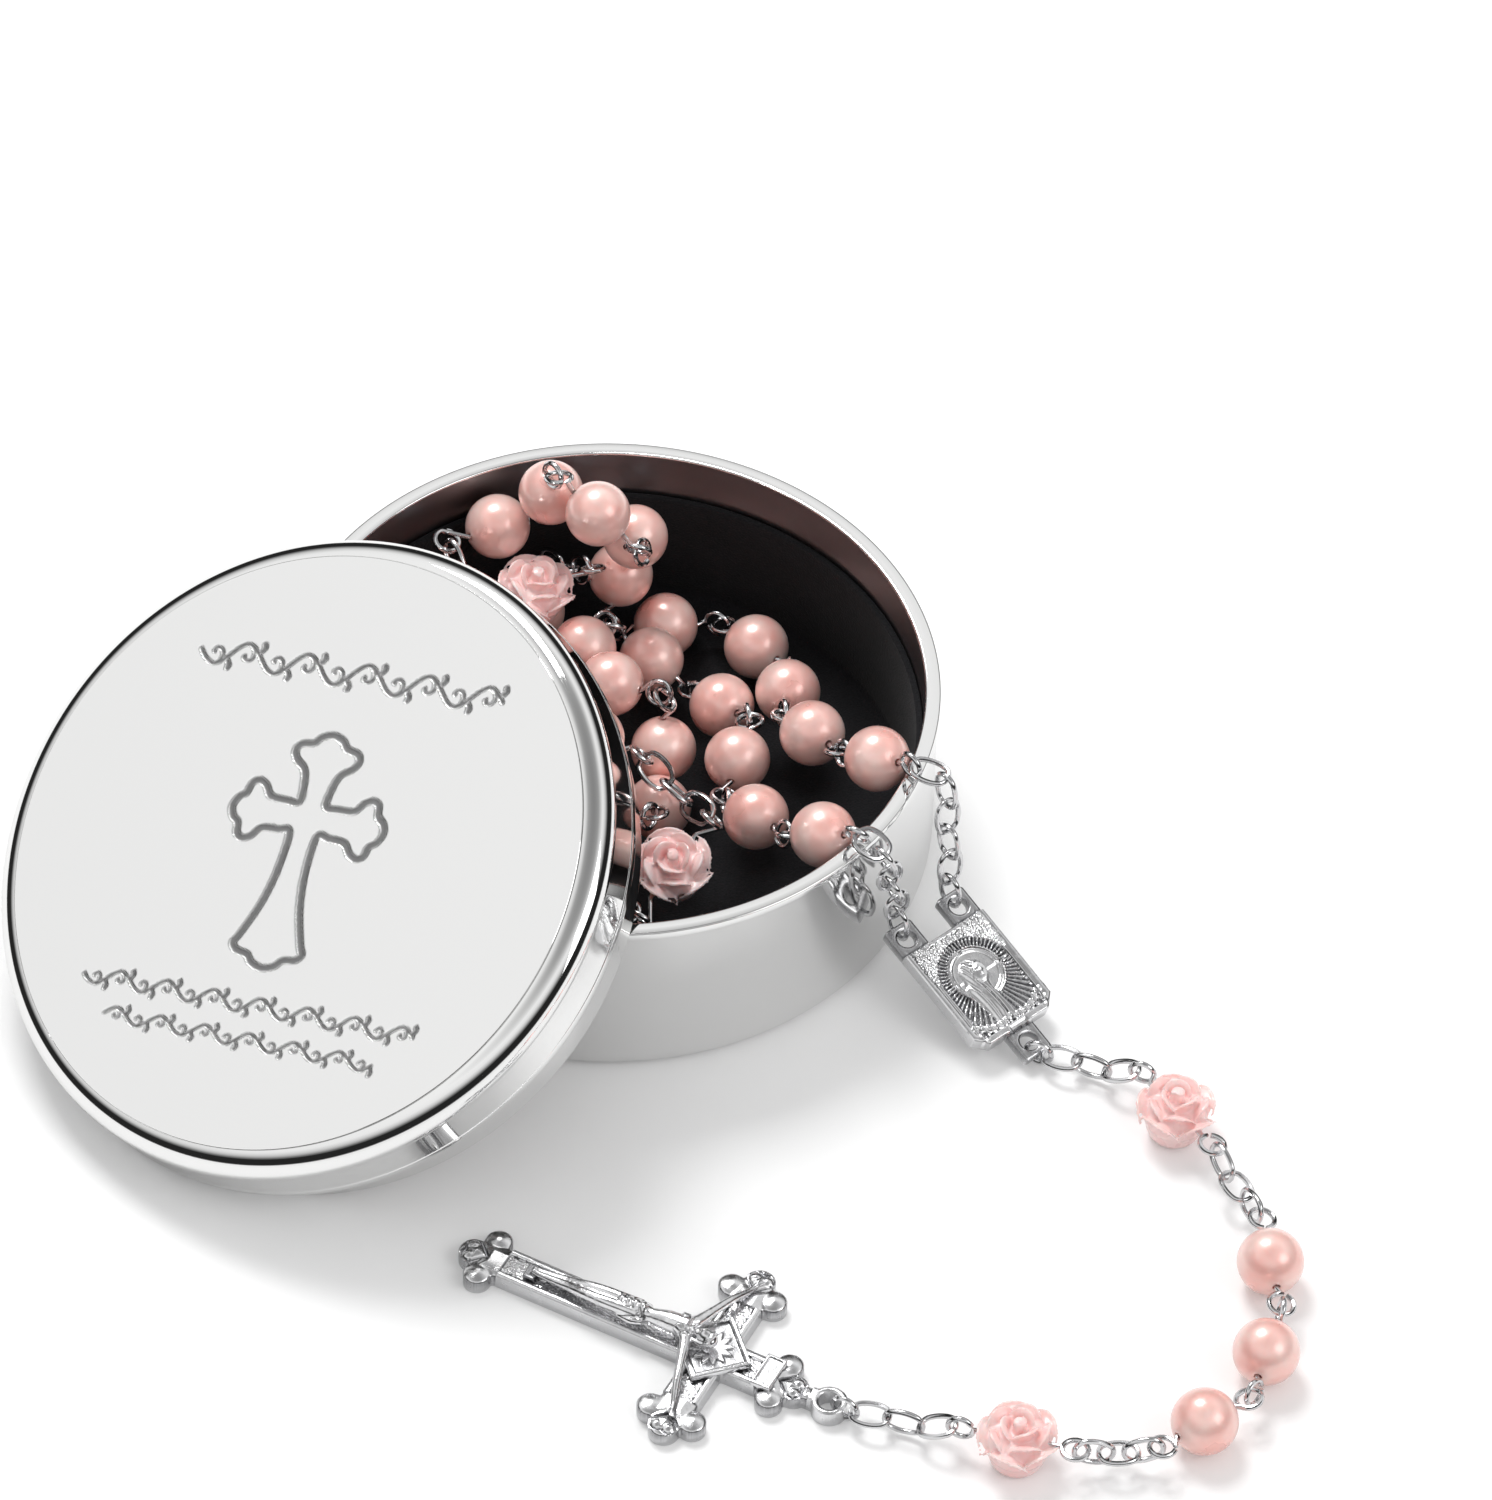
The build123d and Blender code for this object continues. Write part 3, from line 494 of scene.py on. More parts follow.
def segmentDistance(points, line):
    # distance of each point to a polyline, all in one plane
    best = np.full(len(points), 1e9)
    for a, b in zip(line, line[1:]):
        a, b = np.array(a, float), np.array(b, float)
        d = b - a
        t = np.clip(((points - a) @ d) / max(d @ d, 1e-9), 0, 1)
        best = np.minimum(best, np.linalg.norm(points - a - t[:, None] * d, axis=1))
    return best


def crossLine():
    # a cross with flared three-bump ends, drawn as one line: each arm is a half outline, then mirrored
    arms = []
    for turn, length, flare in ((0, 8.0, 3.3), (-90, 7.8, 2.75), (180, 14.1, 3.55), (90, 7.8, 2.75)):
        waist = (0.58 if length > 10 else 0.55) * length
        half = [(1.42, 1.42), (1.38, 0.34 * length), (0.55 * flare, waist), (0.88 * flare, length - 2.7),
                (flare, length - 1.9), (0.86 * flare, length - 1.25), (0.52 * flare, length - 1.0),
                (0.33 * flare, length - 0.35), (0.0, length)]
        whole = [(-x, y) for x, y in half] + half[1:-1][::-1]
        c, s = math.cos(math.radians(turn)), math.sin(math.radians(turn))
        arms.append([(x * c - y * s, x * s + y * c) for x, y in whole])
    return sum(arms, [])


def scroll(x, y, size, turn, curl):
    # one spiral tendril
    out = []
    for k in range(26):
        t = k / 25
        a = math.radians(turn) + curl * t * 4.6
        r = size * (1 - 0.86 * t)
        out.append((x + r * math.cos(a), y + r * math.sin(a)))
    return out


# each vine: its height on the face, half its length, its waves, how high they are, and its line
vineValues = [(16.7, 15.6, 5, 1.15, 0.17), (-14.7, 17.0, 7, 0.75, 0.13), (-17.9, 13.8, 6, 0.65, 0.12)]


def ornamentLines():
    # waving vines with scrolls and leaves, above and below the cross
    lines = []
    for centreY, half, waves, height, line in vineValues:
        steps = 40 * waves
        vine = []
        for k in range(steps + 1):
            t = -1 + 2 * k / steps
            vine.append((half * t, centreY + height * math.sin(t * waves * math.pi)))
        lines.append((vine, line))
        for k in range(2 * waves):
            t = (k + 0.5) / waves - 1
            side = 1 if math.sin(t * waves * math.pi) > 0 else -1
            tendril = scroll(half * t, centreY + side * height * 0.08, height * 0.92, 90 * side, -side)
            lines.append((tendril, line * 0.85))
            x, y = half * (t + 0.5 / waves), centreY + side * height * 0.95
            leaf = [(x - 0.1, y - side * 0.35), (x + 0.12, y), (x, y + side * 0.3)]
            lines.append((leaf, line * 1.3))
    return lines


def makeLidFace():
    # a fine grid over the flat face, sunk along the lines
    v = faceValues
    radius = boxValues["radius"] - lidValues["shoulder"] - 0.12
    rings = int(radius / v["grid"])
    points = [(0.0, 0.0)]
    rows = [[0]]
    for k in range(1, rings + 1):
        r = radius * k / rings
        count = 6 * max(4, int(r * 2 * math.pi / v["grid"] / 6 / 1.15))
        rows.append(list(range(len(points), len(points) + count)))
        points += [onCircle(r, j, count) for j in range(count)]
    flat = np.array(points)
    faces = []
    for lower, upper in zip(rows, rows[1:]):
        i = j = 0
        n, m = len(lower), len(upper)
        if n == 1:
            faces += [(0, upper[k], upper[(k + 1) % m]) for k in range(m)]
            continue
        while i < n or j < m:
            if j < m and (i >= n or (j + 1) / m <= (i + 1) / n):
                faces.append((lower[i % n], upper[j % m], upper[(j + 1) % m]))
                j += 1
            else:
                faces.append((lower[i % n], upper[j % m], lower[(i + 1) % n]))
                i += 1
    up = unit(np.array(v["up"]))
    upright = np.array([[up[1], up[0]], [-up[0], up[1]]])
    drawn = flat @ upright
    shifted = (flat - np.array(v["crossAt"])) @ upright
    best = segmentDistance(shifted, closedPath(crossLine(), 6)) - v["line"]
    for line, width in ornamentLines():
        low, high = np.min(line, axis=0) - 1, np.max(line, axis=0) + 1
        near = np.all((drawn > low) & (drawn < high), axis=1)
        best[near] = np.minimum(best[near], segmentDistance(drawn[near], line) - width)
    tone = np.clip(0.5 - best / 0.12, 0, 1)
    height = lidValues["height"] - v["depth"] * tone
    local = np.column_stack([flat, height])
    clay = Clay()
    clay.add(placed(local, lidCentre, lidSide, lidNormal), faces)
    return clay.make("lidFace", [engravedFace], "lid", "polished_shell", ["lid_shell"], sharp=0, tone=tone)


def makeLid():
    v, r = lidValues, boxValues["radius"]
    face = r - v["shoulder"]
    shoulderTop = v["height"] - v["faceStep"]
    ceiling = v["height"] - v["top"]
    outline = [(0, ceiling), (mouth, ceiling), (mouth, 0), (r, 0), (r, 0.85), (r - 0.06, 0.95)]
    outline += [(r - 0.06, shoulderTop - v["shoulder"] - 0.3), (r, shoulderTop - v["shoulder"])]
    outline = softened(outline, boxValues["edge"])
    outline += arcPoints(face, shoulderTop - v["shoulder"], v["shoulder"], 0, 90, 16)[1:]
    outline += [(face - 0.02, shoulderTop - 0.05), (face - 0.07, shoulderTop - 0.05),
                (face - 0.09, v["height"] - 0.03), (face - 0.12, v["height"])]
    points, faces = turnProfile(outline, turnSteps)
    clay = Clay()
    clay.add(placed(points, lidCentre, lidSide, lidNormal), faces)
    return clay.make("lidShell", [mirrorPolish], "lid", "polished_shell", ["lid_shell"])


def makeCollar():
    v = lidValues
    inner = collarOuter - v["collarThickness"]
    outline = [(inner, v["collarSeat"]), (inner, -v["collarDrop"]), (collarOuter, -v["collarDrop"]),
               (collarOuter, v["collarSeat"]), (inner, v["collarSeat"])]
    points, faces = turnProfile(softened(outline, 0.2), turnSteps)
    clay = Clay()
    clay.add(placed(points, lidCentre, lidSide, lidNormal), faces)
    return clay.make("lidCollar", [mirrorPolish], "lid", "polished_shell", ["lid_collar"])


makeLid()
makeLidFace()
makeCollar()
print("lid made")

# string: where every bead and link lies
joinValues = {"crossing": -28.4, "rimLift": 1.7, "hangLift": 1.4,
              "rightRim": (1.21, 4.07), "rightHang": (4.11, 2.97),
              "leftRim": (-3.49, -4.43), "leftHang": (-1.29, -6.33),
              "medal": (3.41, -1.83), "crossEye": (-4.79, -53.63),
              "pendantRose": [(22.21, -16.13), (29.01, -24.73)],
              "pendantPearls": [(33.01, -32.33), (34.81, -42.73), (32.11, -52.73), (23.91, -58.73)],
              "lowerRose": [(17.11, -59.33), (6.31, -57.23)]}
firstDecade = [
    (21.0, -4.0, 15.5), (16.0, 4.0, 11.5), (16.0, 13.0, 7.5),
    (9.5, 20.0, 5.0), (0.0, 20.0, 5.0), (1.0, 24.5, 14.0), (2.0, 16.5, 19.5),
    (-5.5, 20.5, 24.0), (-6.5, 24.5, 15.5), (-15.0, 19.5, 15.5),
]
lastDecade = [
    (16.0, -13.5, 15.5), (10.5, -6.0, 11.0), (12.0, 3.5, 10.0),
    (7.5, 11.5, 6.0), (-0.5, 17.0, 8.0), (-4.5, 8.5, 11.5), (4.0, 4.0, 12.0),
    (5.0, -1.0, 4.0), (3.0, -8.5, 9.5), (-4.0, -14.0, 6.5),
]
firstRose = [(-12.0, 14.3, 14.0), (-3.0, 20.4, 12.9)]
lastRose = [(8.8, -9.3, 11.5), (3.9, -18.6, 8.5)]
settleValues = {"rounds": 900, "ballGap": 0.25, "loopGap": 0.1, "sink": 0.02, "pull": 0.12, "shortest": 0.78}

pearlDiameter, roseDiameter = stringValues["pearl"], stringValues["rose"]
eyeRadius, wireThickness = stringValues["eyeRadius"], stringValues["wire"]
eyeSlack, ringRadius = stringValues["slack"], stringValues["ring"]
eyeReach = stringValues["neck"] + wireThickness / 2 + eyeRadius + eyeSlack / 2
pearlPitch, rosePitch = pearlDiameter + 2 * eyeReach, roseDiameter + 2 * eyeReach
linkPitch = stringValues["linkLength"] - 2 * wireThickness
loopReach = eyeRadius + wireThickness / 2 + 0.05
linksReach = stringValues["linkWidth"] / 2 + 0.3
evenWish, oddWish = np.array([0.2, 0.1, 1.0]), np.array([0.9, -0.3, 0.2])
ropeUp = np.array([0.0, 0.0, 1.0])


def fromCrossing(place, height):
    return compass(joinValues["crossing"]) * boxValues["radius"] + np.array([place[0], place[1], height])


def sideways(direction, wish):
    across = wish - direction * (wish @ direction)
    if np.linalg.norm(across) < 0.2:
        across = np.cross(direction, np.array([0.3, 1.0, 0.2]))
    return unit(across)


class StringPiece:
    def __init__(self, kind, group):
        self.kind, self.group = kind, group
        self.pitch = {"pearl": pearlPitch, "rose": rosePitch, "links": 3 * linkPitch}[kind]
        self.radius = {"pearl": pearlDiameter / 2, "rose": roseDiameter / 2, "links": linksReach}[kind]


def ringPoints(radius, height, startAngle, endAngle, count):
    points = []
    for step in range(count):
        turn = startAngle + (endAngle - startAngle) * step / (count - 1)
        points.append(tuple(compass(turn) * radius + np.array([0, 0, height])))
    return points


def hiddenRoute():
    wallRing = liningRadius - 3.9
    midRing = wallRing - 7.6
    coreRing = midRing - 7.2
    low = liningFloor + pearlDiameter / 2 + 0.1
    middle = low + pearlDiameter + 0.3
    high = middle + pearlDiameter + 0.2
    route = [firstRose[1], (-7, 22, 8), (-14, 19, low)]
    route += ringPoints(wallRing, low, 140, 262, 7) + [(-1, -19, low)]
    route += ringPoints(midRing, low, 240, 118, 6) + [(-5, 9.5, low)]
    route += ringPoints(coreRing, low, 150, 240, 4) + [(-3, -9, 8)]
    route += ringPoints(coreRing, middle, 235, 160, 3) + [(-9, 9, middle)]
    route += ringPoints(midRing, middle, 135, 235, 5) + [(-5, -20, middle)]
    route += ringPoints(wallRing, middle, 240, 150, 5) + [(-17, 11, 16)]
    route += ringPoints(midRing, high, 160, 205, 3)
    route += [(-6, -4, 16), (0, -5, 15), (5, -3.8, 13.5), lastRose[0]]
    return route


def densePath(route):
    path = []
    for start, end in zip(route, route[1:]):
        start, end = np.array(start, float), np.array(end, float)
        count = max(1, int(np.linalg.norm(end - start) / 0.1))
        path += [start + (end - start) * k / count for k in range(count)]
    return np.array(path + [np.array(route[-1], float)])


def stepAlong(route, pitches):
    # walks the route with steps in proportion to the pitches, so that the last step ends it
    path = densePath(route)
    short, long = 0.4, 1.5
    best = None
    for halving in range(40):
        scale = (short + long) / 2
        joints, place = [path[0]], 0
        for pitch in pitches:
            away = np.nonzero(np.linalg.norm(path[place:] - joints[-1], axis=1) >= pitch * scale)[0]
            if len(away) == 0:
                break
            place += int(away[0])
            joints.append(path[place])
        if len(joints) == len(pitches) + 1:
            short, best = scale, joints
        else:
            long = scale
    best[-1] = path[-1]
    return best[1:]


def stringInBox():
    pieces = [StringPiece("pearl", "decade_1") for k in range(10)]
    pieces += [StringPiece("links", "chain_1a"), StringPiece("rose", "rose_1")]
    joints = [fromCrossing(joinValues["rightRim"], boxValues["height"] + joinValues["rimLift"])]
    joints += [np.array(p, float) for p in firstDecade + firstRose]
    hidden = [StringPiece("links", "chain_1b")]
    for decade in (2, 3, 4):
        hidden += [StringPiece("pearl", "decade_%d" % decade) for k in range(10)]
        hidden.append(StringPiece("links", "chain_%da" % decade))
        if decade < 4:
            hidden += [StringPiece("rose", "rose_%d" % decade), StringPiece("links", "chain_%db" % decade)]
    inView = len(joints)
    joints += stepAlong(hiddenRoute(), [piece.pitch for piece in hidden])
    lastInView = len(joints) - 1
    pieces += hidden + [StringPiece("rose", "rose_4"), StringPiece("links", "chain_4b")]
    joints += [np.array(lastRose[1], float)]
    joints += [np.array(p, float) for p in reversed(lastDecade)]
    joints.append(fromCrossing(joinValues["leftRim"], boxValues["height"] + joinValues["rimLift"]))
    pieces += [StringPiece("pearl", "decade_5") for k in range(10)]
    held = [settleValues["pull"] if k < inView or k >= lastInView else 0.0 for k in range(len(joints))]
    return pieces, settle(pieces, np.array(joints), np.array(held))


def settle(pieces, joints, held):
    # rods with a ball on each middle: every round the joints sink, then balls, loops, walls and lid push back
    v = settleValues
    home = joints.copy()
    count = len(pieces)
    first = np.arange(count)
    radius = np.array([piece.radius for piece in pieces])
    pitch = np.array([piece.pitch for piece in pieces])
    shortest = np.array([piece.pitch * (v["shortest"] if piece.kind == "links" else 1.0) for piece in pieces])
    free = np.ones(count + 1, bool)
    free[0] = free[-1] = False
    rowA, rowB = np.triu_indices(count, 1)
    need = radius[rowA] + radius[rowB] + v["ballGap"]
    reachToLoop = radius[None] + loopReach + v["loopGap"]
    for turn in range(v["rounds"]):
        if turn < 0.75 * v["rounds"]:
            joints[free, 2] -= v["sink"]
            joints += (home - joints) * held[:, None]
        for k in range(count):
            span = joints[k + 1] - joints[k]
            length = np.linalg.norm(span)
            want = min(max(length, shortest[k]), pitch[k])
            share = span * (length - want) / length / max(1, int(free[k]) + int(free[k + 1]))
            joints[k] += share * free[k]
            joints[k + 1] -= share * free[k + 1]
        middles = (joints[:-1] + joints[1:]) / 2
        away = middles[rowA] - middles[rowB]
        distance = np.linalg.norm(away, axis=1)
        for k in np.nonzero(distance < need)[0]:
            push = away[k] / max(distance[k], 1e-6) * (need[k] - distance[k]) / 2
            joints[rowA[k]] += push
            joints[rowB[k] + 1] -= push
            if rowB[k] > rowA[k] + 1:
                joints[rowA[k] + 1] += push
                joints[rowB[k]] -= push
        middles = (joints[:-1] + joints[1:]) / 2
        away = joints[:, None] - middles[None]
        distance = np.linalg.norm(away, axis=2)
        close = distance < reachToLoop
        close[first, first] = False
        close[first + 1, first] = False
        for k, ball in zip(*np.nonzero(close)):
            push = away[k, ball] / distance[k, ball] * (reachToLoop[0, ball] - distance[k, ball]) * 0.4
            joints[k] += push
            joints[ball] -= push / 2
            joints[ball + 1] -= push / 2
        away = joints[:, None] - joints[None]
        distance = np.linalg.norm(away, axis=2) + 99 * np.eye(count + 1)
        for k, other in zip(*np.nonzero(np.triu(distance < 2 * loopReach, 1))):
            push = away[k, other] / distance[k, other] * (2 * loopReach - distance[k, other]) * 0.4
            joints[k] += push
            joints[other] -= push
        middles = (joints[:-1] + joints[1:]) / 2
        for k in range(count):
            keepIn(joints, (k, k + 1), middles[k], radius[k])
        for k in range(1, count):
            keepIn(joints, (k,), joints[k].copy(), loopReach)
        joints[~free] = home[~free]
    return joints


def keepIn(joints, rows, middle, radius):
    shift = np.zeros(3)
    reach = math.hypot(middle[0], middle[1])
    inLining = middle[2] - radius < liningTop
    limit = (liningRadius if inLining else mouth) - settleValues["loopGap"] - radius
    if reach > limit:
        shift[:2] = middle[:2] * (limit / reach - 1)
    shift[2] = max(0.0, liningFloor + radius + 0.05 - middle[2])
    inLid = (middle - lidCentre) @ lidNormal + radius + lidValues["collarDrop"] + 0.3
    if inLid > 0:
        shift -= lidNormal * inLid
    for row in rows:
        joints[row] += shift


# forms of the small pieces
formValues = {"wireSides": 8, "loopSteps": 22, "pearlSteps": 44, "roseVoxel": 0.13}


def fused(clay, voxel, rounds):
    # joins the shapes of a clay into one skin
    mesh = bpy.data.meshes.new("joining")
    mesh.from_pydata(np.concatenate(clay.points).tolist(), [], clay.faces)
    holder = bpy.data.objects.new("joining", mesh)
    bpy.context.scene.collection.objects.link(holder)
    skin = holder.modifiers.new("skin", "REMESH")
    skin.mode, skin.voxel_size = "VOXEL", voxel
    ease = holder.modifiers.new("ease", "SMOOTH")
    ease.iterations, ease.factor = rounds, 0.5
    result = holder.evaluated_get(bpy.context.evaluated_depsgraph_get()).to_mesh()
    points = np.empty(len(result.vertices) * 3)
    result.vertices.foreach_get("co", points)
    faces = [tuple(p.vertices) for p in result.polygons]
    holder.to_mesh_clear()
    bpy.data.objects.remove(holder)
    bpy.data.meshes.remove(mesh)
    return points.reshape(-1, 3), faces


def pearlForm():
    radius, hole = pearlDiameter / 2, stringValues["hole"] / 2
    top = math.degrees(math.acos((hole + 0.08) / radius))
    outline = arcPoints(0, 0, radius, -top, top, formValues["pearlSteps"] // 2)
    end = outline[-1][1]
    outline += [(hole + 0.02, end - 0.03), (hole, end - 0.12), (hole, 0.12 - end), (hole + 0.02, 0.03 - end)]
    return turnProfile(outline, formValues["pearlSteps"], closed=True)


def linkForm():
    bend = (stringValues["linkLength"] - stringValues["linkWidth"]) / 2
    radius = (stringValues["linkWidth"] - wireThickness) / 2
    points = []
    for k in range(32):
        a = 2 * math.pi * (k + 0.5) / 32
        straight = math.copysign(min(1, abs(math.cos(a)) * 1.6), math.cos(a))
        points.append((bend * straight + radius * math.cos(a), radius * math.sin(a), 0))
    return tube(points, wireThickness / 2, formValues["wireSides"], closed=True)


def ringForm():
    # a jump ring, its ends pressed together
    points = [(ringRadius * math.cos(a), ringRadius * math.sin(a), 0)
              for a in np.linspace(0.06, 2 * math.pi - 0.06, 30)]
    return tube(points, wireThickness / 2, formValues["wireSides"])


def petal(clay, centre, half, foot, lip, rise, thickness, curl, lean=0.22):
    # foot and lip are radii, rise is (low, high); a closed shell with a rounded lip
    rows, steps = 17, 9
    points = []
    for row in range(rows):
        u = -1 + 2 * row / (rows - 1)
        tall = 1 - 0.62 * abs(u) ** 2.6
        loop = []
        for side in (1, -1):
            levels = [s / (steps - 1) for s in range(steps)]
            if side < 0:
                levels = levels[::-1]
            for v in levels:
                a = math.radians(centre + u * half * (1 - 0.10 * v))
                roll = max(0.0, v - 0.72) / 0.28
                thin = thickness * (1 - 0.45 * v) * (1 - 0.5 * abs(u) ** 4)
                r = foot + (lip - foot) * v ** 1.7 + lean * u * v + curl * roll * roll + side * thin / 2
                z = rise[0] + (rise[1] - rise[0]) * v * tall - 0.55 * curl * roll ** 3
                loop.append((r * math.cos(a), r * math.sin(a), z))
            if side > 0:
                a = math.radians(centre + u * half * 0.9)
                r = lip + lean * u + curl
                z = rise[0] + (rise[1] - rise[0]) * tall - 0.55 * curl + thickness * 0.24
                loop.append((r * math.cos(a), r * math.sin(a), z))
        points += loop
    count = 2 * steps + 1
    faces = gridFaces(rows, count)
    faces += [tuple(range(count)), tuple(range((rows - 1) * count, rows * count))[::-1]]
    clay.add(points, [f[::-1] for f in faces])


# each tier: petals, half width, foot, lip, (low, high), thickness, curl of the lip, turn
roseValues = {"tiers": [(5, 45, 2.35, 3.05, (-1.2, 0.95), 0.95, 0.42, 0),
                        (5, 42, 1.95, 2.35, (-0.2, 1.70), 0.85, 0.26, 36),
                        (3, 72, 1.15, 1.40, (0.6, 2.30), 0.62, 0.16, 12)],
              "cup": [(0, -3.04), (1.75, -3.04), (2.15, -2.9), (2.45, -2.4), (2.7, -1.4), (2.8, -0.4),
                      (2.7, 0.4), (2.2, 0.9), (0, 1.3)]}


def roseForm():
    clay = Clay()
    clay.add(*turnProfile(softened(roseValues["cup"], 0.3), 48))
    for number, half, foot, lip, rise, thickness, curl, turn in roseValues["tiers"]:
        for k in range(number):
            petal(clay, turn + 360 * k / number + 5 * (k % 2), half, foot, lip, rise, thickness, curl)
    coil = []
    for k in range(34):
        a = math.radians(20 + k * 18)
        r = 0.10 + 0.52 * k / 33
        coil.append((r * math.cos(a), r * math.sin(a), 2.42 - 0.15 * k / 33))
    for lift in (0, -0.3, -0.6, -0.9):
        clay.add(*tube([(x, y, z + lift) for x, y, z in coil], 0.15, 6))
    return fused(clay, formValues["roseVoxel"], 3)


forms = {"pearl": pearlForm(), "link": linkForm(), "ring": ringForm(), "rose": roseForm()}
gathered = {}


def keep(node, form, origin=(0, 0, 0), xWay=(1, 0, 0), zWay=(0, 0, 1)):
    points, faces = form
    gathered.setdefault(node, Clay()).add(placed(points, origin, xWay, zWay), faces)


# drawing the string from its joints
def quarterTurn(along, normal):
    return unit(np.cross(along, sideways(along, normal)))


def chainLinks(node, points, lastNormal):
    for start, end in zip(points, points[1:]):
        start, end = np.array(start, float), np.array(end, float)
        along = unit(end - start)
        lastNormal = quarterTurn(along, lastNormal)
        keep(node, forms["link"], (start + end) / 2, along, lastNormal)
    return lastNormal


def sagging(start, end, lowest):
    count = max(3, round(float(np.linalg.norm(end - start)) / linkPitch))
    points = []
    slack = unit(end - start) * stringValues["linkSlack"]
    start, end = start + slack, end - slack
    for k in range(count + 1):
        point = start + (end - start) * k / count
        point[2] = max(point[2] - stringValues["sag"] * math.sin(math.pi * k / count), min(lowest, point[2]))
        points.append(point)
    return points


def throughJoint(pieces, directions, k):
    before, after = directions[k], directions[k + 1]
    if k and pieces[k - 1].kind == "links":
        return before
    if k < len(pieces) and pieces[k].kind == "links":
        return after
    middle = before + after
    return unit(middle) if np.linalg.norm(middle) > 0.3 else unit(after)


def eyeLoop(centre, outward, normal):
    # from the neck once round, ending just short of the neck
    x, y = -outward, np.cross(normal, -outward)
    return [centre + eyeRadius * (math.cos(a) * x + math.sin(a) * y)
            for a in np.linspace(0, math.radians(338), formValues["loopSteps"])]


def eyePin(middle, direction, ballRadius, startLoop, endLoop):
    reach = direction * (ballRadius * 0.93 + wireThickness / 2)
    centre, along, normal = startLoop
    start = eyeLoop(centre, -along, normal)[::-1]
    end = eyeLoop(*endLoop)
    bent = start + [middle - reach, middle, middle + reach] + end
    return tube(bent, wireThickness / 2, formValues["wireSides"])


def drawString(pieces, joints, startNormal, endNormal, lowest):
    directions = [unit(joints[k + 1] - joints[k]) for k in range(len(pieces))]
    directions = [directions[0]] + directions + [directions[-1]]
    last = len(pieces) - 1
    if pieces[last].kind == "links":
        points = sagging(joints[last], joints[last + 1], lowest)
        endNormal = chainLinks(pieces[last].group, points[::-1], endNormal)
        last = last - 1
    normal = startNormal
    for k, piece in enumerate(pieces[:last + 1]):
        direction = directions[k + 1]
        if piece.kind == "links":
            normal = chainLinks(piece.group, sagging(joints[k], joints[k + 1], lowest), normal)
            continue
        along = throughJoint(pieces, directions, k)
        startLoop = (joints[k] + along * eyeSlack / 2, along, quarterTurn(along, normal))
        along = throughJoint(pieces, directions, k + 1)
        wish = evenWish if k % 2 else oddWish
        normal = quarterTurn(along, endNormal) if k == last else sideways(along, wish)
        endLoop = (joints[k + 1] - along * eyeSlack / 2, along, normal)
        middle = (joints[k] + joints[k + 1]) / 2
        pin = eyePin(middle, direction, piece.radius, startLoop, endLoop)
        if piece.kind == "pearl":
            across = sideways(direction, np.array([0.3, 1.0, 0.2]))
            keep("pearls_" + piece.group, forms["pearl"], middle, across, direction)
            keep("eyepins_" + piece.group, pin)
        else:
            across = sideways(direction, np.array([0.1, 0.0, 1.0]))
            keep(piece.group, forms["rose"], middle, direction, across)
            keep("eyepin_" + piece.group, pin)


medalValues = {"width": 9.2, "length": 11.2, "thickness": 1.2, "relief": 0.3, "ear": 3.0, "earHole": 0.9,
               "earThickness": 0.8, "earSpread": 3.1, "lift": 0.7, "bearing": 131.4, "rise": 17.0,
               "cell": 0.075}
crossValues = {"thickness": 1.7, "bar": 3.4, "foot": 25.2, "arm": 10.4, "head": 9.4, "lobe": 1.25,
               "eyeRadius": 1.6, "eyeHole": 1.0, "eyeReach": 11.6, "bearing": -26.4, "cell": 0.085,
               "plaque": 5.6, "plaqueThickness": 0.5, "titleWidth": 3.6, "titleLength": 1.9,
               "titleThickness": 0.45}


def medalFrame():
    v = medalValues
    rise = math.radians(v["rise"])
    upWay = compass(v["bearing"]) * math.cos(rise) + np.array([0, 0, math.sin(rise)])
    side = compass(v["bearing"] - 90)
    centre = fromCrossing(joinValues["medal"], 0.0) - upWay * (v["length"] / 2 + v["ear"] / 2)
    lowEnd = (v["length"] / 2 + v["ear"]) * math.sin(rise)
    centre[2] = lowEnd + v["thickness"] / 2 * math.cos(rise) + v["lift"]
    return centre, side, upWay, np.cross(side, upWay)


medalCentre, medalSide, medalUp, medalNormal = medalFrame()


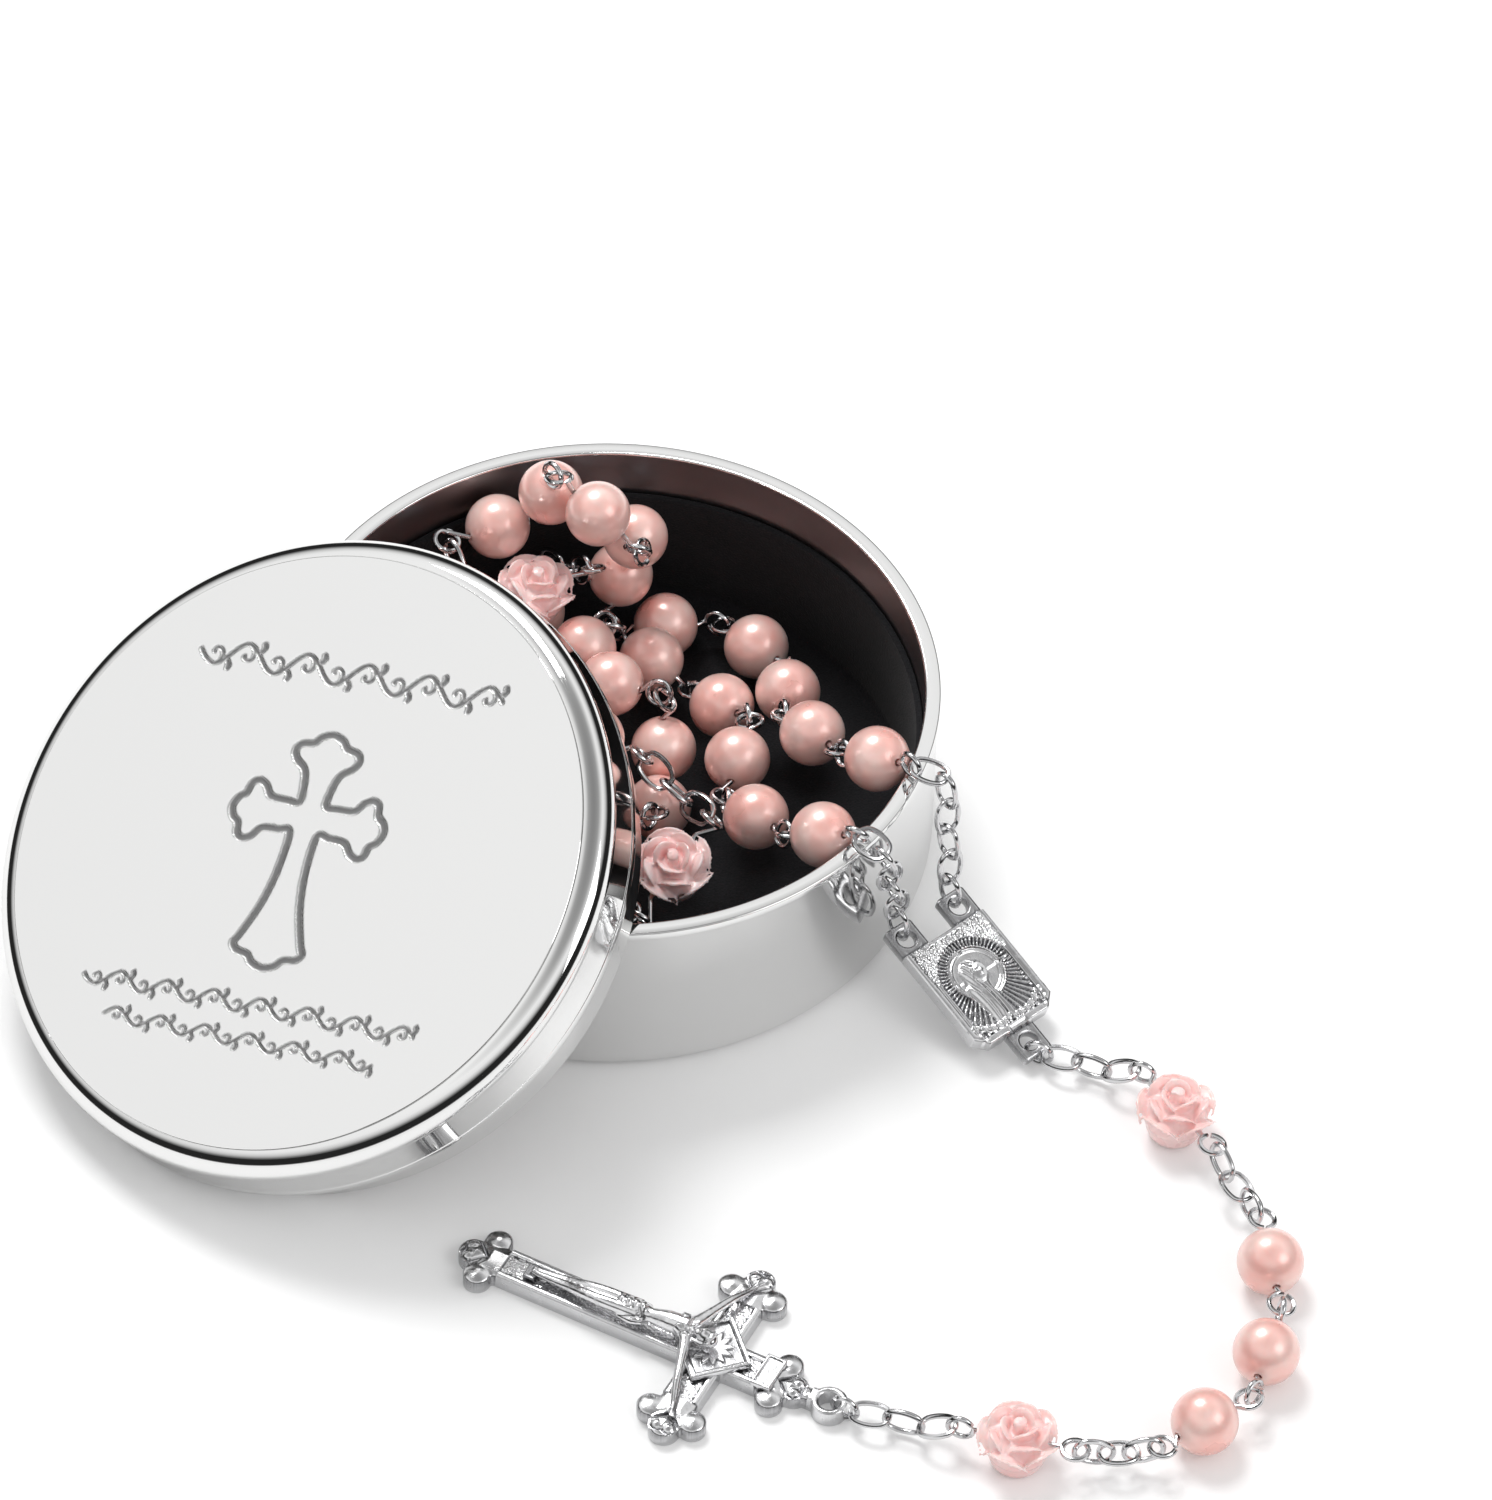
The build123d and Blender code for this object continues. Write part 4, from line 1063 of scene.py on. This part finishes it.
def layString():
    v = medalValues
    holeHeight = v["length"] / 2 + v["ear"] / 2
    earRim = (v["earHole"] + v["ear"] / 2) / 2
    normals = []
    for side, name in ((1, "right"), (-1, "left")):
        place = medalCentre + medalSide * side * v["earSpread"] + medalUp * (holeHeight + earRim)
        place = place - ropeUp * (v["earThickness"] / 2 + 0.1)
        earTop = place + ropeUp * linkPitch
        hangTop = fromCrossing(joinValues[name + "Hang"], boxValues["height"] + joinValues["hangLift"])
        count = math.ceil(np.linalg.norm(hangTop - earTop) / linkPitch - 0.1)
        hanging = [earTop + (hangTop - earTop) * k / count for k in range(count + 1)]
        rim = fromCrossing(joinValues[name + "Rim"], boxValues["height"] + joinValues["rimLift"])
        normals.append(chainLinks("rim_chain_" + name, [place] + hanging + [rim], medalNormal))
    pieces, joints = stringInBox()
    drawString(pieces, joints, normals[0], normals[1], liningFloor + linksReach)

    topArm = compass(crossValues["bearing"])
    ringHeight = ringRadius + wireThickness / 2 + 0.05
    ringPull = 0.8 - stringValues["linkSlack"]
    eyeRim = (crossValues["eyeRadius"] + crossValues["eyeHole"]) / 2
    crossRing = fromCrossing(joinValues["crossEye"], ringHeight) + topArm * (eyeRim + 0.25)
    keep("crucifix_ring", forms["ring"], crossRing, topArm, np.cross(topArm, ropeUp))
    lowerEar = medalCentre - medalUp * (holeHeight + earRim)
    chainStart = fromCrossing(joinValues["pendantRose"][0], ringHeight)
    outward = unit((chainStart - lowerEar) * np.array([1, 1, 0]))
    medalRing = np.array([lowerEar[0], lowerEar[1], ringHeight]) + outward * 0.2
    keep("medal_ring", forms["ring"], medalRing, outward, np.cross(outward, ropeUp))
    onTable = [medalRing + outward * ringPull]
    onTable += [fromCrossing(place, 0.8 * roseDiameter / 2) for place in joinValues["pendantRose"]]
    onTable += [fromCrossing(place, pearlDiameter / 2) for place in joinValues["pendantPearls"]]
    onTable += [fromCrossing(place, 0.8 * roseDiameter / 2) for place in joinValues["lowerRose"]]
    onTable += [crossRing + topArm * ringPull]
    pieces = [StringPiece(*p) for p in (("links", "pendant_chain_1"), ("rose", "pendant_rose_1"),
              ("links", "pendant_chain_2"), ("pearl", "pendant"), ("pearl", "pendant"), ("pearl", "pendant"),
              ("links", "pendant_chain_3"), ("rose", "pendant_rose_2"), ("links", "pendant_chain_4"))]
    drawString(pieces, onTable, np.cross(outward, ropeUp), np.cross(topArm, ropeUp), linksReach)


def camel(node):
    head, *rest = node.split("_")
    return head + "".join(word.capitalize() for word in rest)


layString()
for node, clay in gathered.items():
    if node.startswith("pearls"):
        skin, slotName = pearlSkin, "pearl"
    elif node.startswith(("rose", "pendant_rose")):
        skin, slotName = pinkResin, "rose_resin"
    else:
        skin, slotName = brightWire, "wire"
    clay.make(camel(node), [skin], "box", slotName, [node], sharp=45)
print("string laid")

# cast pieces: reliefs on a fine grid
def soft(low, high, value):
    t = np.clip((value - low) / (high - low), 0, 1)
    return t * t * (3 - 2 * t)


def boxDistance(p, centre, half, turn=0.0):
    c, s = math.cos(math.radians(turn)), math.sin(math.radians(turn))
    q = np.abs((p - np.array(centre)) @ np.array([[c, -s], [s, c]])) - np.array(half)
    return np.linalg.norm(np.maximum(q, 0), axis=-1) + np.minimum(np.maximum(q[..., 0], q[..., 1]), 0)


def discDistance(p, centre, radius):
    return np.linalg.norm(p - np.array(centre), axis=-1) - radius


def blended(a, b, k):
    h = np.clip(0.5 + 0.5 * (b - a) / k, 0, 1)
    return b + (a - b) * h - k * h * (1 - h)


def pebbles(p, size):
    x, y = p[..., 0] / size, p[..., 1] / size
    across, along = np.sin(x * 6.3 + 1.7 * np.sin(y * 4.1)), np.sin(y * 6.7 + 1.3 * np.sin(x * 3.7))
    return 0.5 + 0.25 * (across * along * 2)


def reliefPlate(name, node, body, outline, relief, low, high, cell, bottom, place, dark):
    # outline gives distance to the edge, relief the height; walls go down to bottom
    xs, ys = np.arange(low[0], high[0] + cell, cell), np.arange(low[1], high[1] + cell, cell)
    p = np.stack(np.meshgrid(xs, ys), axis=-1)
    d = outline(p)
    keepCell = (d[:-1, :-1] + d[1:, :-1] + d[:-1, 1:] + d[1:, 1:]) < 0
    around = np.zeros(d.shape, int)
    for a in (0, 1):
        for b in (0, 1):
            around[a:a + keepCell.shape[0], b:b + keepCell.shape[1]] += keepCell
    gy, gx = np.gradient(d, cell)
    edge = (around > 0) & (around < 4)
    size = np.maximum(gx ** 2 + gy ** 2, 0.25)
    move = np.where(edge, np.clip(d, -1.2 * cell, 1.2 * cell) / size, 0)
    p = p - np.stack([gx, gy], axis=-1) * move[..., None]
    height = relief(p, outline(p))
    blur = height.copy()
    for k in range(5):
        total = blur
        for step, axis in ((1, 0), (-1, 0), (1, 1), (-1, 1)):
            total = total + np.roll(blur, step, axis)
        blur = total / 5
    # painted shade: darker where the top lies below its blurred height and below the level dark[1]
    tone = np.clip((blur - height) * dark[0] + (dark[1] - height) * dark[2], 0, 1)
    index = -np.ones(d.shape, int)
    used = around > 0
    count = int(used.sum())
    index[used] = np.arange(count)
    top = np.column_stack([p[used], height[used]])
    under = np.column_stack([p[used], np.full(count, bottom)])
    rows, columns = np.nonzero(keepCell)
    a, b = index[rows, columns], index[rows, columns + 1]
    c, e = index[rows + 1, columns + 1], index[rows + 1, columns]
    faces = np.column_stack([a, b, c, e])
    walls = []
    for step, axis, start, end in ((1, 0, a, b), (-1, 1, b, c), (-1, 0, c, e), (1, 1, e, a)):
        bare = ~np.roll(keepCell, step, axis)[rows, columns]
        walls.append(np.column_stack([end[bare], start[bare], start[bare] + count, end[bare] + count]))
    everyFace = np.vstack([faces, faces[:, ::-1] + count] + walls)
    clay = Clay()
    clay.add(placed(np.vstack([top, under]), *place), everyFace.tolist())
    # the underside gets a little painted shade
    tone = np.concatenate([tone[used], np.full(count, 0.15)])
    clay.make(name, [castSilver], body, "cast_metal", [node], sharp=50, tone=tone)


def medalOutline(p):
    v = medalValues
    half = v["length"] / 2
    d = boxDistance(p, (0, 0), (v["width"] / 2 - 0.25, half - 0.25)) - 0.25
    x, y = np.abs(p[..., 0]), p[..., 1]
    d = np.maximum(d, (x - y - (v["width"] / 2 + half - 1.2)) / math.sqrt(2))
    upper = half + v["ear"] / 2
    ears = ((-v["earSpread"], upper), (v["earSpread"], upper), (0, -upper))
    for cx, cy in ears:
        inner = cy - math.copysign(0.5, cy)
        d = np.minimum(d, boxDistance(p, (cx, inner), (v["ear"] / 2 - 0.3, v["ear"] / 2 + 0.2)) - 0.3)
    for cx, cy in ears:
        d = np.maximum(d, -discDistance(p, (cx, cy), v["earHole"]))
    return d


def medalRelief(p, d):
    v = medalValues
    x, y = p[..., 0], p[..., 1]
    face, high = v["thickness"] / 2, v["thickness"] / 2 + v["relief"]
    ear = soft(v["length"] / 2 - 0.1, v["length"] / 2 + 0.15, np.abs(y))
    arch = np.where(y > 0.7, discDistance(p, (0, 0.7), 3.65), boxDistance(p, (0, -2.1), (3.65, 2.8)))
    height = high - 0.10 + 0.10 * soft(-0.75, -0.4, d)
    pebbly = soft(2.4, 3.0, y + 0.25 * np.abs(x)) * soft(-0.35, -0.55, d)
    height = height + pebbly * (0.16 * pebbles(p, 0.62) - 0.14)
    r, a = np.hypot(x, y - 0.8), np.arctan2(y - 0.8, x)
    rays = 0.5 + 0.5 * np.cos(a * 58)
    recess = face - 0.12 + 0.26 * soft(0.3, 0.7, rays)
    recess = np.where(r < 2.75, face + 0.02, recess)
    recess = recess + 0.22 * np.exp(-((r - 2.68) / 0.13) ** 2) + 0.10 * np.exp(-((r - 2.30) / 0.09) ** 2)
    height = np.where(arch < 0, recess, height) + 0.10 * np.exp(-(arch / 0.13) ** 2)
    # veiled head and mantle, folds falling from the crown
    mantle = blended(discDistance(p, (-0.25, 1.15), 1.25), boxDistance(p, (-0.5, -2.3), (1.15, 2.4), 10), 1.4)
    fold = 0.07 * np.sin((x + 0.28 * y + 0.05 * y * y) * 7.5)
    body = face + 0.30 * np.sqrt(np.clip(-mantle / 1.2, 0, 1)) + fold * soft(0, -0.3, mantle)
    q = (p - np.array([0.42, 0.72])) @ np.array([[0.94, 0.34], [-0.34, 0.94]])
    oval = np.hypot(q[..., 0] / 0.78, q[..., 1] / 1.05)
    cheek = face + 0.14 + 0.24 * np.sqrt(np.clip(1 - oval ** 2, 0, 1))
    ridge = 0.09 * np.exp(-(q[..., 0] / 0.10) ** 2)
    nose = ridge * soft(0.42, 0.1, q[..., 1]) * soft(-0.30, -0.12, q[..., 1])
    eyes = sum(-0.06 * np.exp(-((q[..., 0] - sx) / 0.16) ** 2 - ((q[..., 1] - 0.20) / 0.06) ** 2)
               for sx in (-0.32, 0.32))
    lips = -0.04 * np.exp(-(q[..., 0] / 0.20) ** 2 - ((q[..., 1] + 0.46) / 0.05) ** 2)
    body = np.where(oval < 1, cheek + nose + eyes + lips, body)
    body = body + 0.12 * np.exp(-((oval - 1.12) / 0.12) ** 2) * soft(-0.9, -0.5, q[..., 1])
    height = np.where(mantle < 0, np.maximum(body, height - 0.2), height)
    # garland along both lower corners
    for side in (-1, 1):
        along = np.clip((side * x) / 3.6, 0, 1)
        line = -4.15 - 0.75 * np.sin(along * math.pi) * 0.9 + 0.6 * along
        near = np.abs(y - line)
        bead = 0.5 + 0.5 * np.cos(x * 9.5)
        garland = face + 0.12 + 0.22 * bead * soft(0.42, 0.1, near)
        height = np.where((side * x > 0) & (near < 0.42), np.maximum(height, garland), height)
    height = height - 0.12 * soft(-0.22, 0, d) ** 2
    flat = v["earThickness"] / 2 - 0.10 * soft(-0.25, 0, d) ** 2 - 0.05 * soft(-0.45, -0.75, d)
    return height * (1 - ear) + flat * ear


def crossArms(p):
    # the points turned so that each arm in turn runs along +Y, and its length
    v = crossValues
    for turn, length in ((0, v["head"]), (180, v["foot"]), (90, v["arm"]), (-90, v["arm"])):
        c, s = math.cos(math.radians(turn)), math.sin(math.radians(turn))
        yield p @ np.array([[c, -s], [s, c]]), length


def crossPlan(p):
    v = crossValues
    out = v["bar"] / 2 + 0.35
    d = None
    for q, length in crossArms(p):
        arm = boxDistance(q, (0, length / 2 - 1), (v["bar"] / 2, length / 2 - 1))
        back = length - 2.2 * v["lobe"]
        for x, y in ((0, length - v["lobe"] - 0.1), (out, back), (-out, back)):
            arm = blended(arm, discDistance(q, (x, y), v["lobe"] * (1.12 if x == 0 else 1)), 0.35)
        d = arm if d is None else blended(d, arm, 0.3)
    d = np.minimum(d, boxDistance(p, (0, v["head"] + 0.4), (0.75, 0.8)))
    d = np.minimum(d, discDistance(p, (0, v["eyeReach"]), v["eyeRadius"]))
    return np.maximum(d, -discDistance(p, (0, v["eyeReach"]), v["eyeHole"]))


def heartDistance(q, size):
    # two round lobes outwards, the point towards the middle of the cross
    lobes = [discDistance(q, (side * 0.48 * size, 0.30 * size), 0.52 * size) for side in (-1, 1)]
    return np.minimum(np.minimum(*lobes), boxDistance(q, (0, -0.12 * size), (0.58 * size, 0.58 * size), 45))


def crossRelief(p, d):
    v = crossValues
    top = v["thickness"]
    height = top - 0.16 * soft(-0.4, 0, d) ** 2
    field = soft(-0.55, -0.75, d)
    height = height - field * 0.30 + field * 0.10 * pebbles(p, 0.42)
    for q, length in crossArms(p):
        heart = heartDistance(q - np.array([0, length - 1.45]), 1.15)
        zone = q[..., 1] > length - 4.4
        pillow = top - 0.42 + 0.42 * np.sqrt(np.clip(-d / 1.0, 0, 1))
        height = np.where(zone, pillow, height)
        height = np.where(zone & (heart < 0.24), np.minimum(height, top - 0.40), height)
        height = np.where(heart < 0, top - 0.34 + 0.34 * np.sqrt(np.clip(-heart / 0.6, 0, 1)), height)
    eyeTop = top - 0.12 * soft(-0.28, 0, d) ** 2
    return np.where(p[..., 1] > v["head"] + 0.35, eyeTop, height)


def plaqueRelief(p, d):
    base = crossValues["thickness"] + crossValues["plaqueThickness"]
    r, a = np.hypot(p[..., 0], p[..., 1]), np.arctan2(p[..., 1], p[..., 0])
    spikes = 1.15 + 0.85 * np.abs(((a * 12 / math.pi) % 2) - 1)
    sun = soft(spikes + 0.12, spikes - 0.12, r)
    height = base - 0.28 + 0.22 * sun
    border = soft(-0.55, -0.42, d)
    height = height + 0.28 * border - 0.22 * sun * border
    return height - 0.05 * np.exp(-((d + 0.28) / 0.06) ** 2) - 0.10 * soft(-0.15, 0, d) ** 2


def titleRelief(p, d):
    base = crossValues["thickness"] + crossValues["titleThickness"]
    return base - 0.16 * soft(-0.24, -0.34, d) - 0.08 * soft(-0.12, 0, d) ** 2 + 0.012 * pebbles(p, 0.25)


crossTop = compass(crossValues["bearing"])
crossCentre = fromCrossing(joinValues["crossEye"], 0) - crossTop * crossValues["eyeReach"]
crossPlace = (crossCentre, compass(crossValues["bearing"] - 90), (0, 0, 1))


def plaqueOutline(p):
    half = crossValues["plaque"] / 2 - 0.1
    return boxDistance(p, (0, 0), (half, half), 45) - 0.1


def titleOutline(p):
    half = (crossValues["titleWidth"] / 2 - 0.1, crossValues["titleLength"] / 2 - 0.1)
    return boxDistance(p, (0, 5.6), half) - 0.1


def makeCast():
    m, c = medalValues, crossValues
    top = c["thickness"]
    reliefPlate("medal", "medal", "box", medalOutline, medalRelief, (-5.2, -9.2), (5.2, 9.2), m["cell"],
                -m["thickness"] / 2, (medalCentre, medalSide, medalNormal),
                (7.0, m["thickness"] / 2 - 0.02, 2.2))
    reliefPlate("crucifixCross", "crucifix_cross", "crucifix", crossPlan, crossRelief, (-12, -26.5), (12, 14),
                c["cell"], 0.0, crossPlace, (7.0, top - 0.2, 2.0))
    reliefPlate("crucifixPlaque", "crucifix_plaque", "crucifix", plaqueOutline, plaqueRelief, (-4.5, -4.5),
                (4.5, 4.5), 0.06, top, crossPlace, (7.0, top + 0.35, 3.2))
    reliefPlate("crucifixTitle", "crucifix_title", "crucifix", titleOutline, titleRelief, (-2.4, 4.2),
                (2.4, 7.2), 0.06, top, crossPlace, (6.0, top + 0.3, 2.0))


makeCast()


# the figure, a plain generic one
figureValues = {"voxel": 0.09, "gap": 0.05}


def makeFigure():
    v = crossValues
    low = v["thickness"] + v["plaqueThickness"] + figureValues["gap"]
    hand, foot = v["thickness"] + figureValues["gap"] + 0.35, v["thickness"] + figureValues["gap"] + 0.5
    chest, shoulder = low + 1.15, low + 0.85
    clay = Clay()

    def limb(points, widths, sides=12):
        path = smoothPath(points, 5)
        radii = np.interp(np.linspace(0, 1, len(path)), np.linspace(0, 1, len(widths)), widths)
        clay.add(*tube(path, radii, sides))

    limb([(0, -7.6, low + 0.75), (0.05, -6.0, low + 0.75), (0.0, -4.3, low + 0.95), (0, -2.3, chest)],
         [0.85, 0.72, 0.98, 1.0])
    for side in (-1, 1):
        limb([(side * 0.45, -7.2, low + 0.7), (side * 0.5 + 0.25, -11.3, low + 0.85),
              (side * 0.28, -14.6, low + 0.15), (side * 0.2, -16.9, foot), (side * 0.12, -17.9, foot + 0.05)],
             [0.68, 0.56, 0.44, 0.30, 0.30])
        limb([(side * 0.5, -2.9, chest), (side * 1.1, -2.2, shoulder), (side * 3.2, -1.45, low + 0.65),
              (side * 5.2, -0.8, low + 0.35), (side * 7.2, -0.05, hand), (side * 8.3, 0.3, hand)],
             [0.55, 0.62, 0.44, 0.40, 0.28, 0.26])
        limb([(side * 0.45, -3.2, chest + 0.35), (side * 0.75, -2.6, chest + 0.2)], [0.62, 0.5])
        for finger in (-0.14, 0.02, 0.18):
            limb([(side * 8.0, 0.25 + finger, hand + 0.1), (side * 8.7, 0.55 + finger * 1.6, hand + 0.15)],
                 [0.12, 0.09], 6)
    for k in range(4):
        y = -3.9 - 0.42 * k
        limb([(-0.75, y - 0.25, chest - 0.15), (0, y + 0.05, chest + 0.42 - 0.05 * k),
              (0.75, y - 0.25, chest - 0.15)], [0.10, 0.13, 0.10], 6)
    for k, y in enumerate((-6.6, -7.3, -8.0, -8.7)):
        limb([(-0.95, y, low + 0.55), (0, y - 0.3, low + 1.55 - 0.08 * k), (0.98, y + 0.1, low + 0.55)],
             [0.24, 0.36, 0.24], 8)
    limb([(0.95, -6.5, low + 0.6), (1.25, -7.6, low + 0.5), (1.15, -9.0, low + 0.3)], [0.34, 0.36, 0.15], 8)
    limb([(0, -2.4, shoulder), (0.1, -1.5, low + 1.15), (0.2, -1.0, low + 1.3)], [0.5, 0.42, 0.4])
    # bowed head with hair to the shoulders and a plain beard
    skull, faces = turnProfile(arcPoints(0, 0, 1.0, -88, 88, 16), 24)
    skull = np.array(skull)
    clay.add(skull * [0.72, 0.86, 0.82] + [0.25, -0.55, low + 1.25], faces)
    clay.add(skull * [0.80, 0.74, 0.62] + [0.25, -0.15, low + 0.98], faces)
    clay.add(skull * [0.40, 0.52, 0.36] + [0.27, -1.25, low + 1.45], faces)
    clay.add(skull * [0.12, 0.28, 0.16] + [0.26, -0.72, low + 2.02], faces)
    for side in (-1, 1):
        limb([(0.25 + side * 0.55, 0.1, low + 1.2), (0.25 + side * 0.78, -0.7, low + 1.05),
              (0.25 + side * 0.62, -1.7, low + 1.05)], [0.30, 0.28, 0.16], 8)
        limb([(0.25 + side * 0.14, -0.42, low + 1.98), (0.25 + side * 0.42, -0.48, low + 1.84)],
             [0.10, 0.08], 6)
    band = [(0.25 + 0.80 * math.cos(a), -0.30 + 0.42 * math.sin(a), low + 1.30 + 0.55 * math.sin(a))
            for a in np.linspace(0, 2 * math.pi, 25)[:-1]]
    clay.add(*tube(band, 0.13, 6, closed=True))
    # small foot rest
    levels = (v["thickness"] - 0.3, v["thickness"] + 0.3)
    block = [(x, y, z) for x in (-0.8, 0.8) for y in (-18.6, -17.5) for z in levels]
    clay.add(block, [(0, 1, 3, 2), (4, 6, 7, 5), (0, 4, 5, 1), (2, 3, 7, 6), (0, 2, 6, 4), (1, 5, 7, 3)])
    points, faces = fused(clay, figureValues["voxel"], 2)
    onPlaque = (np.abs(points[:, 0]) < 4.2) & (points[:, 1] > -4.2)
    lowest = np.where(onPlaque, low, v["thickness"] + figureValues["gap"] * 0.5)
    points[:, 2] = np.maximum(points[:, 2], lowest)
    # painted shade, darker the nearer the figure lies to the cross
    tone = np.clip((low + 0.55 - points[:, 2]) * 0.9, 0, 0.8)
    made = Clay()
    made.add(placed(points, *crossPlace), faces)
    made.make("crucifixCorpus", [castSilver], "crucifix", "cast_metal", ["crucifix_corpus"], sharp=0,
              tone=tone)


makeFigure()
print("medal and crucifix made")


# floor, backdrop and lights
stageValues = {"floor": (0.92, 0.92, 0.92), "size": 3.0, "lift": 0.10, "world": 0.62, "key": 4.6,
               "fill": 1.2, "side": (1.0, 0.88),
               "band": [(0.0, 0.22), (0.05, 0.02), (0.38, 0.02), (0.46, 0.22), (0.56, 0.62), (0.67, 0.94),
                        (0.76, 1.0), (0.84, 0.72), (0.92, 0.40), (1.0, 0.28)]}


def makeStage():
    v = stageValues
    material, tree, shader = newMaterial("paleFloor", Base_Color=(*v["floor"], 1), Roughness=0.85,
                                         Specular_IOR_Level=0.1)
    mesh = bpy.data.meshes.new("floor")
    half = v["size"] / 2
    corners = [(-half, -half, 0), (half, -half, 0), (half, half, 0), (-half, half, 0)]
    mesh.from_pydata(corners, [], [(0, 1, 2, 3)])
    mesh.materials.append(material)
    floor = bpy.data.objects.new("floor", mesh)
    floor.location.z = -0.00002  # a hair below the base, so that the two don't flicker
    bpy.context.scene.collection.objects.link(floor)
    output = tree.nodes["Material Output"]
    rays = tree.nodes.new("ShaderNodeLightPath")
    glow = tree.nodes.new("ShaderNodeEmission")
    amount = tree.nodes.new("ShaderNodeMath")
    amount.operation = "MULTIPLY"
    amount.inputs[1].default_value = v["lift"]
    tree.links.new(rays.outputs["Is Camera Ray"], amount.inputs[0])
    tree.links.new(amount.outputs[0], glow.inputs["Strength"])
    add = tree.nodes.new("ShaderNodeAddShader")
    tree.links.new(shader.outputs[0], add.inputs[0])
    tree.links.new(glow.outputs[0], add.inputs[1])
    tree.links.new(add.outputs[0], output.inputs["Surface"])


def areaLight(name, place, aim, size, power):
    lamp = bpy.data.lights.new(name, "AREA")
    lamp.shape = "RECTANGLE"
    lamp.size = lamp.size_y = size
    lamp.energy = power
    holder = bpy.data.objects.new(name, lamp)
    holder.location = place
    holder.rotation_euler = (Vector(aim) - Vector(place)).to_track_quat("-Z", "Y").to_euler()
    bpy.context.scene.collection.objects.link(holder)


def makeWorld():
    # the room lights plainly; mirrors see a dark horizon, a bright belt above it and a dimmer ceiling
    world = bpy.data.worlds.new("paleRoom")
    bpy.context.scene.world = world
    world.use_nodes = True
    tree = world.node_tree
    plain = tree.nodes["Background"]
    plain.inputs["Color"].default_value = (1, 1, 1, 1)
    plain.inputs["Strength"].default_value = stageValues["world"]
    coords = tree.nodes.new("ShaderNodeTexCoord")
    split = tree.nodes.new("ShaderNodeSeparateXYZ")
    tree.links.new(coords.outputs["Generated"], split.inputs[0])
    band = tree.nodes.new("ShaderNodeValToRGB")
    stops = stageValues["band"]
    for element, (position, grey) in zip(band.color_ramp.elements, (stops[0], stops[-1])):
        element.position, element.color = position, (grey, grey, grey, 1)
    for position, grey in stops[1:-1]:
        element = band.color_ramp.elements.new(position)
        element.color = (grey, grey, grey, 1)
    tree.links.new(split.outputs["Z"], band.inputs["Fac"])
    side = ramp(tree, split.outputs["X"], *stageValues["side"], -0.9, 0.9)
    shade = tree.nodes.new("ShaderNodeMix")
    shade.data_type, shade.blend_type = "RGBA", "MULTIPLY"
    shade.inputs["Factor"].default_value = 1
    tree.links.new(band.outputs["Color"], shade.inputs["A"])
    tree.links.new(side, shade.inputs["B"])
    studio = tree.nodes.new("ShaderNodeBackground")
    tree.links.new(shade.outputs["Result"], studio.inputs["Color"])
    white = tree.nodes.new("ShaderNodeBackground")
    white.inputs["Color"].default_value = (1, 1, 1, 1)
    rays = tree.nodes.new("ShaderNodeLightPath")
    glossy, seen = tree.nodes.new("ShaderNodeMixShader"), tree.nodes.new("ShaderNodeMixShader")
    tree.links.new(rays.outputs["Is Glossy Ray"], glossy.inputs[0])
    tree.links.new(plain.outputs[0], glossy.inputs[1])
    tree.links.new(studio.outputs[0], glossy.inputs[2])
    tree.links.new(rays.outputs["Is Camera Ray"], seen.inputs[0])
    tree.links.new(glossy.outputs[0], seen.inputs[1])
    tree.links.new(white.outputs[0], seen.inputs[2])
    tree.links.new(seen.outputs[0], tree.nodes["World Output"].inputs["Surface"])
    bpy.context.scene.view_settings.view_transform = "Standard"


makeStage()
makeWorld()
areaLight("keyLamp", (-0.20, 0.42, 0.80), (0.01, -0.01, 0), 0.34, stageValues["key"])
areaLight("fillLamp", (0.60, -0.30, 0.55), (0, 0, 0), 0.40, stageValues["fill"])
print("stage made")

print("finished")
